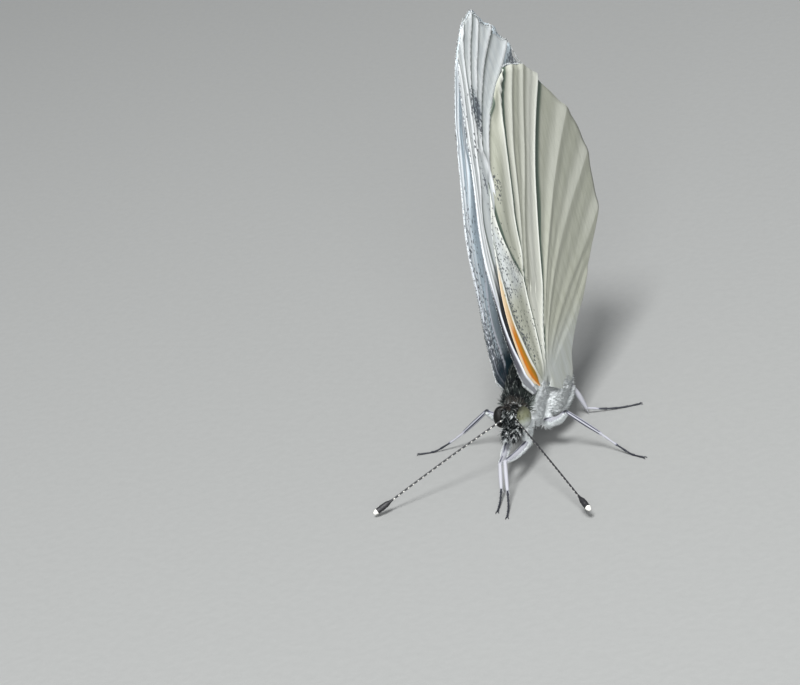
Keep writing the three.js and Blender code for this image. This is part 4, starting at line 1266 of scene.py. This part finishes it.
def wing_finish(name, scale_size, underside, upperside, pale, bright, dim):
    """Scaled membrane: pale veins, a painted highlight on the climb to each vein, painted shade in the
    folds behind them, and dark scales scattered as thickly as the dusting says.
    """
    sheet = Finish(name, Roughness=0.62, Specular_IOR_Level=0.3)
    long_scales = sheet.node("ShaderNodeMapping", {}, {"Vector": sheet.place(), "Scale": (1, 1, 0.45)})
    scales = sheet.node("ShaderNodeTexVoronoi", {}, {"Vector": long_scales, "Scale": 1 / scale_size}, 1)
    chance = sheet.node("ShaderNodeSeparateColor", {}, {0: scales})
    flecks = sheet.mark("dust") > chance * 0.98 + 0.015
    streak = sheet.cloud(0.00035, 3, (1, 1, 0.12))
    ground = sheet.blend(sheet.mark("underside"), upperside, underside)
    # The climb mark lays a painted highlight on the slope up to each vein.
    layers = [(sheet.mark("front"), FOREWING_UNDERSIDE), (sheet.mark("bloom"), (0.38, 0.40, 0.385)),
              (0.45 * streak.rise(0.35, 0.75), dim), (sheet.mark("climb") * 0.75, pale),
              # The fold mark is painted shade in the bottom of each fold behind a vein.
              (sheet.mark("crease") * 0.95, (0.055, 0.085, 0.065)), (sheet.mark("vein") * 0.7, bright),
              *((sheet.mark(mark), colour) for mark, colour in WING_MARKS.items()),
              (sheet.mark("costa") * 0.7 + sheet.mark("rib"), (0.76, 0.78, 0.86))]
    for share, colour in layers:
        ground = sheet.blend(share, ground, colour)
    dark = sheet.blend(chance, (0.008, 0.010, 0.022), (0.12, 0.14, 0.17))
    grain = sheet.cloud(0.00007, 1)
    sheet.wear(Base_Color=sheet.blend(flecks * (0.6 + 0.4 * grain), ground, dark),
               Normal=sheet.relief(grain + 1.5 * streak, 0.000018))
    return sheet.material


def flat_plan(points):
    """A wing's plan, laid out small as the flat map of its fringe."""
    return np.column_stack([0.05 + points[:, 1] * 0.04 + 0.1, 0.15 + points[:, 2] * 0.03])


def fringe(name, plan, sheet, side, margin, tones, rng, length, count=1500):
    """A row of fine scales that stand out from the wing's edge. Tones are places on it and darkness."""
    first, last = tones[0][0], tones[-1][0]
    margin = swept(plan, margin, side)
    t = np.sort(first + (last - first) * rng.random(count)) * (len(margin) - 2)
    k = t.astype(int)
    at = margin[k] + (margin[k + 1] - margin[k]) * (t - k)[:, None]
    way = unit(margin[k + 1] - margin[k])
    out = np.column_stack([-way[:, 1], way[:, 0]])
    out *= -np.sign((out * (margin.mean(0) - at)).sum(1))[:, None]
    out = out + rng.normal(0, 0.18, out.shape)
    roots = np.column_stack([side * (sheet(at[:, 1]) + rng.uniform(0.0, 0.06, count)), at - out * 0.03])
    lie = np.column_stack([rng.normal(0, 0.1, count), out])
    normals = np.tile((side * 1.0, 0, 0), (count, 1))
    shade = np.interp(t / (len(margin) - 2), *np.array(tones).T)
    shade = np.where(rng.random(count) < shade, 0.7, 0.20)
    return tufts(name, roots, normals, lie, length * rng.uniform(0.7, 1.3, count), 0.07, 0.03, shade,
                 flat_plan, rng, thickness=0.12)


# The forewing's upper face is tinted blue-grey over its white: a painted cast of sky light in shade.
# The fourth colour of each wing finish is the painted highlight on the climb to the veins.
forewing_material = wing_finish("forewing_scales", 0.00008, FOREWING_UNDERSIDE, (0.60, 0.69, 0.75),
                                (0.60, 0.63, 0.64), (0.78, 0.79, 0.80), (0.33, 0.37, 0.40))
hindwing_material = wing_finish("hindwing_scales", 0.00006, (0.355, 0.365, 0.305), (0.44, 0.47, 0.44),
                                (0.52, 0.53, 0.48), (0.66, 0.68, 0.64), (0.27, 0.28, 0.22))
fringe_scales = coat_finish("fringe_scales", 0.6)
# Places along the margin, from 0 to 1, and how dark the fringe is there.
FOREWING_EDGE = [(0.01, 0.03), (0.05, 0.03), (0.07, 0.85), (0.12, 0.8), (0.15, 0.25), (0.22, 0.15),
                 (0.26, 0.5), (0.33, 0.6), (0.36, 0.25), (0.42, 0.3), (0.50, 0.5), (0.55, 0.2),
                 (0.78, 0.05)]
HINDWING_EDGE = [(0.42, 0.05), (0.85, 0.05)]
WHITE_SHOULDER = [(0.004, 0.02), (0.03, 0.02)]
hindwing_front = rounded(HINDWING["margin"][:12], 60)
root_hair = []
rng = np.random.default_rng(37)
for name, side in SIDES.items():
    piece, places, margin = wing(f"forewing_{name}_sheet", FOREWING, side, forewing_sheet,
                                 under_hindwing, rng)
    y, z = places.T
    lead = line_distance(places, margin[:int(len(margin) * 0.40)])[0]
    from_rib, rib_side = line_distance(places, rounded(FOREWING["veins"][9], 40))
    to_costa, costa_side = line_distance(places, rounded(FOREWING["costa"], 60))
    below_costa = costa_side < 0
    rib = np.exp(-(from_rib / 0.09) ** 2) * (1 - rise(z, 7, 9)) * rise(z, 0.8, 1.2)
    mark_faces(piece, "rib", inner=rib)

    edge_spot = 0.8 * spot(places, 8.8, 19.2, 0.9, 0.5)
    front_edge = 0.9 * np.exp(-(lead / 0.05) ** 2) * rise(z, 15.5, 17) * (1 - rise(z, 21.5, 22.5))
    spots = [np.clip(front_edge + edge_spot, 0, 0.9), 0.95 * spot(places, 2.15, 18.5, 0.34, 0.65),
             0.6 * spot(places, 1.85, 18.3, 0.6, 1.2, 0.7), 0.95 * spot(places, 0.85, 13.8, 0.10, 0.75),
             0.08 * spot(places, 0.6, 15.6, 0.5, 3.0, 0.7)]
    root_dust = 0.6 * (1 - rise(np.hypot(y, z), 1.5, 7.5)) * (rib_side < 0) + 0.15 * (1 - rise(z, 0, 5))
    costal_dust = 0.35 * np.exp(-lead / 0.8) * (1 - rise(z, 9, 17))
    apex = 0.5 * spot(places, 4.5, 23.6, 1.6, 1.2) + 0.75 * spot(places, 8.8, 19.2, 0.9, 0.5)
    upper = np.clip(root_dust + costal_dust + apex + 0.8 * spot(places, 6.2, 15.4, 1.0, 0.9), 0, 0.95)
    mark_faces(piece, "dust", np.max(spots, axis=0), upper * (1 - rib))

    blue_spot = 0.55 * spot(places, 1.95, 18.5, 0.6, 1.1, 0.7)
    # The teal behind the rib and the dark at the root of the upper face are partly dark base scales and
    # partly painted shade of the narrow gap between the wings.
    behind_rib = 0.36 * (rib_side > 0) * (1 - rise(z, 4.0, 7.5))
    root_dark = 1 - rise(np.hypot(y - 0.8, z + 0.5), 1.8, 3.4)
    mark_faces(piece, "deep", blue_spot, np.maximum(behind_rib, root_dark) * (1 - rib))

    shade = 1 - rise(line_distance(places, hindwing_front)[0], 0.44, 0.56)
    shade = shade * rise(z, 1.9, 3.0) * (costa_side > 0)
    shade *= 1 - 0.45 * rise(z, 6.5, 8.5) - 0.55 * rise(z, 8.5, 11.5)
    front_shade = 0.9 * (lead < 0.16) * below_costa * rise(z, 2.2, 3.0) * (1 - rise(z, 6.5, 8.5))
    mark_faces(piece, "shade", np.maximum(shade, front_shade))
    # Painted shade on the front face of the costal edge, in front of the white costa line.
    brow = below_costa * rise(to_costa, 0.05, 0.12) * (1 - rise(z, 8, 10))
    mark_faces(piece, "brow", brow * (0.75 + 0.25 * rise(z, 1.0, 2.0)))
    set_in_frame(piece, forewing_material)
    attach(piece, "root")
    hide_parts(f"forewing_{name}")
    edge = fringe("edge", FOREWING, forewing_sheet, side, margin, FOREWING_EDGE, rng, 0.09)
    shoulder = fringe("shoulder", FOREWING, forewing_sheet, side, margin, WHITE_SHOULDER, rng, 0.18, 170)
    edge = join([edge, shoulder], f"forewing_{name}_fringe")
    set_in_frame(edge, fringe_scales)
    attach(edge, "root")

    piece, places, margin = wing(f"hindwing_{name}_sheet", HINDWING, side, hindwing_sheet, uncovered, rng)
    y, z = places.T
    lead = line_distance(places, margin[:int(len(margin) * 0.30)])[0]
    to_vein, vein_side = line_distance(places, rounded(HINDWING["veins"][0], 40))
    _, branch_side = line_distance(places, rounded(HINDWING["veins"][1], 60))
    to_edge, edge_side = line_distance(places, rounded(ORANGE_EDGE, 60))
    strip = np.where(edge_side < 0, lead / (lead + to_edge), 1)
    within = 1 - rise(strip, 0.9, 1.0)
    glow = (edge_side < 0) * within * (1 - rise(z, 7.0, 9.2))
    ember = rise(strip, 0.2, 0.38) * within * (1 - 0.72 * rise(z, 3.9, 5.2) - 0.28 * rise(z, 5.2, 6.6))
    olive = rise(strip, 0.5, 0.85) * within * (0.75 - 0.25 * rise(z, 2.6, 4.2) - 0.5 * rise(z, 6.0, 8.5))
    front = (branch_side < 0) * (z > 5.5) * rise(z, 5.5, 7.5)
    behind_vein = np.exp(-((to_vein - 0.35) / 0.3) ** 2) * (vein_side > 0)
    dust = 0.42 * behind_vein * rise(z, 0.8, 2.0) * (1 - rise(z, 6, 9))
    dust += 0.07 * spot(places, 1.4, 6.0, 1.2, 4.5)
    dust += 0.3 * spot(places, 1.9, 13.2, 0.35, 1.3) + 0.12 * front
    from_root = np.hypot(y, z)
    mark_faces(piece, "dust", np.clip(dust, 0, 0.9) * (1 - glow), 0.25 * (1 - rise(from_root, 2, 7)))
    mark_faces(piece, "deep", inner=1 - rise(from_root, 2.5, 5.0))
    mark_faces(piece, "bloom", rise(y - 0.35 * z, 0.6, 1.6) * (1 - rise(z, 0.0, 2.6)))
    for mark, values in (("front", front), ("ember", ember), ("olive", olive), ("glow", glow)):
        mark_faces(piece, mark, values)
    by_body = rise(-z, -0.9, 0.6) * rise(y, 0.8, 1.3) * (1 - rise(y, 4.4, 5.2)) * np.hypot(y - 1.5, z + 0.8)
    root_hair.append(points_of(piece)[rng.choice(len(places), ROOT_HAIRS, p=by_body / by_body.sum())])
    set_in_frame(piece, hindwing_material)
    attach(piece, "root")
    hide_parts(f"hindwing_{name}")
    edge = fringe(f"hindwing_{name}_fringe", HINDWING, hindwing_sheet, side, margin, HINDWING_EDGE, rng,
                  0.13)
    set_in_frame(edge, fringe_scales)
    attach(edge, "root")

roots = np.concatenate(root_hair)
normals = np.sign(roots[:, :1]) * (1, 0, 0)
lie = unit(np.tile((0, 0.8, -0.7), (len(roots), 1))) + rng.normal(0, 0.15, roots.shape)
length, lift = rng.uniform(0.28, 0.45, len(roots)), rng.uniform(0.02, 0.10, len(roots))
hair = tufts("coat_wing_roots", roots, normals, lie, length, 0.05, lift,
             0.25 + 0.08 * rng.random(len(roots)), unwrap, rng, bends=3)
set_in_frame(hair, thorax_fur)
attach(hair, "root")
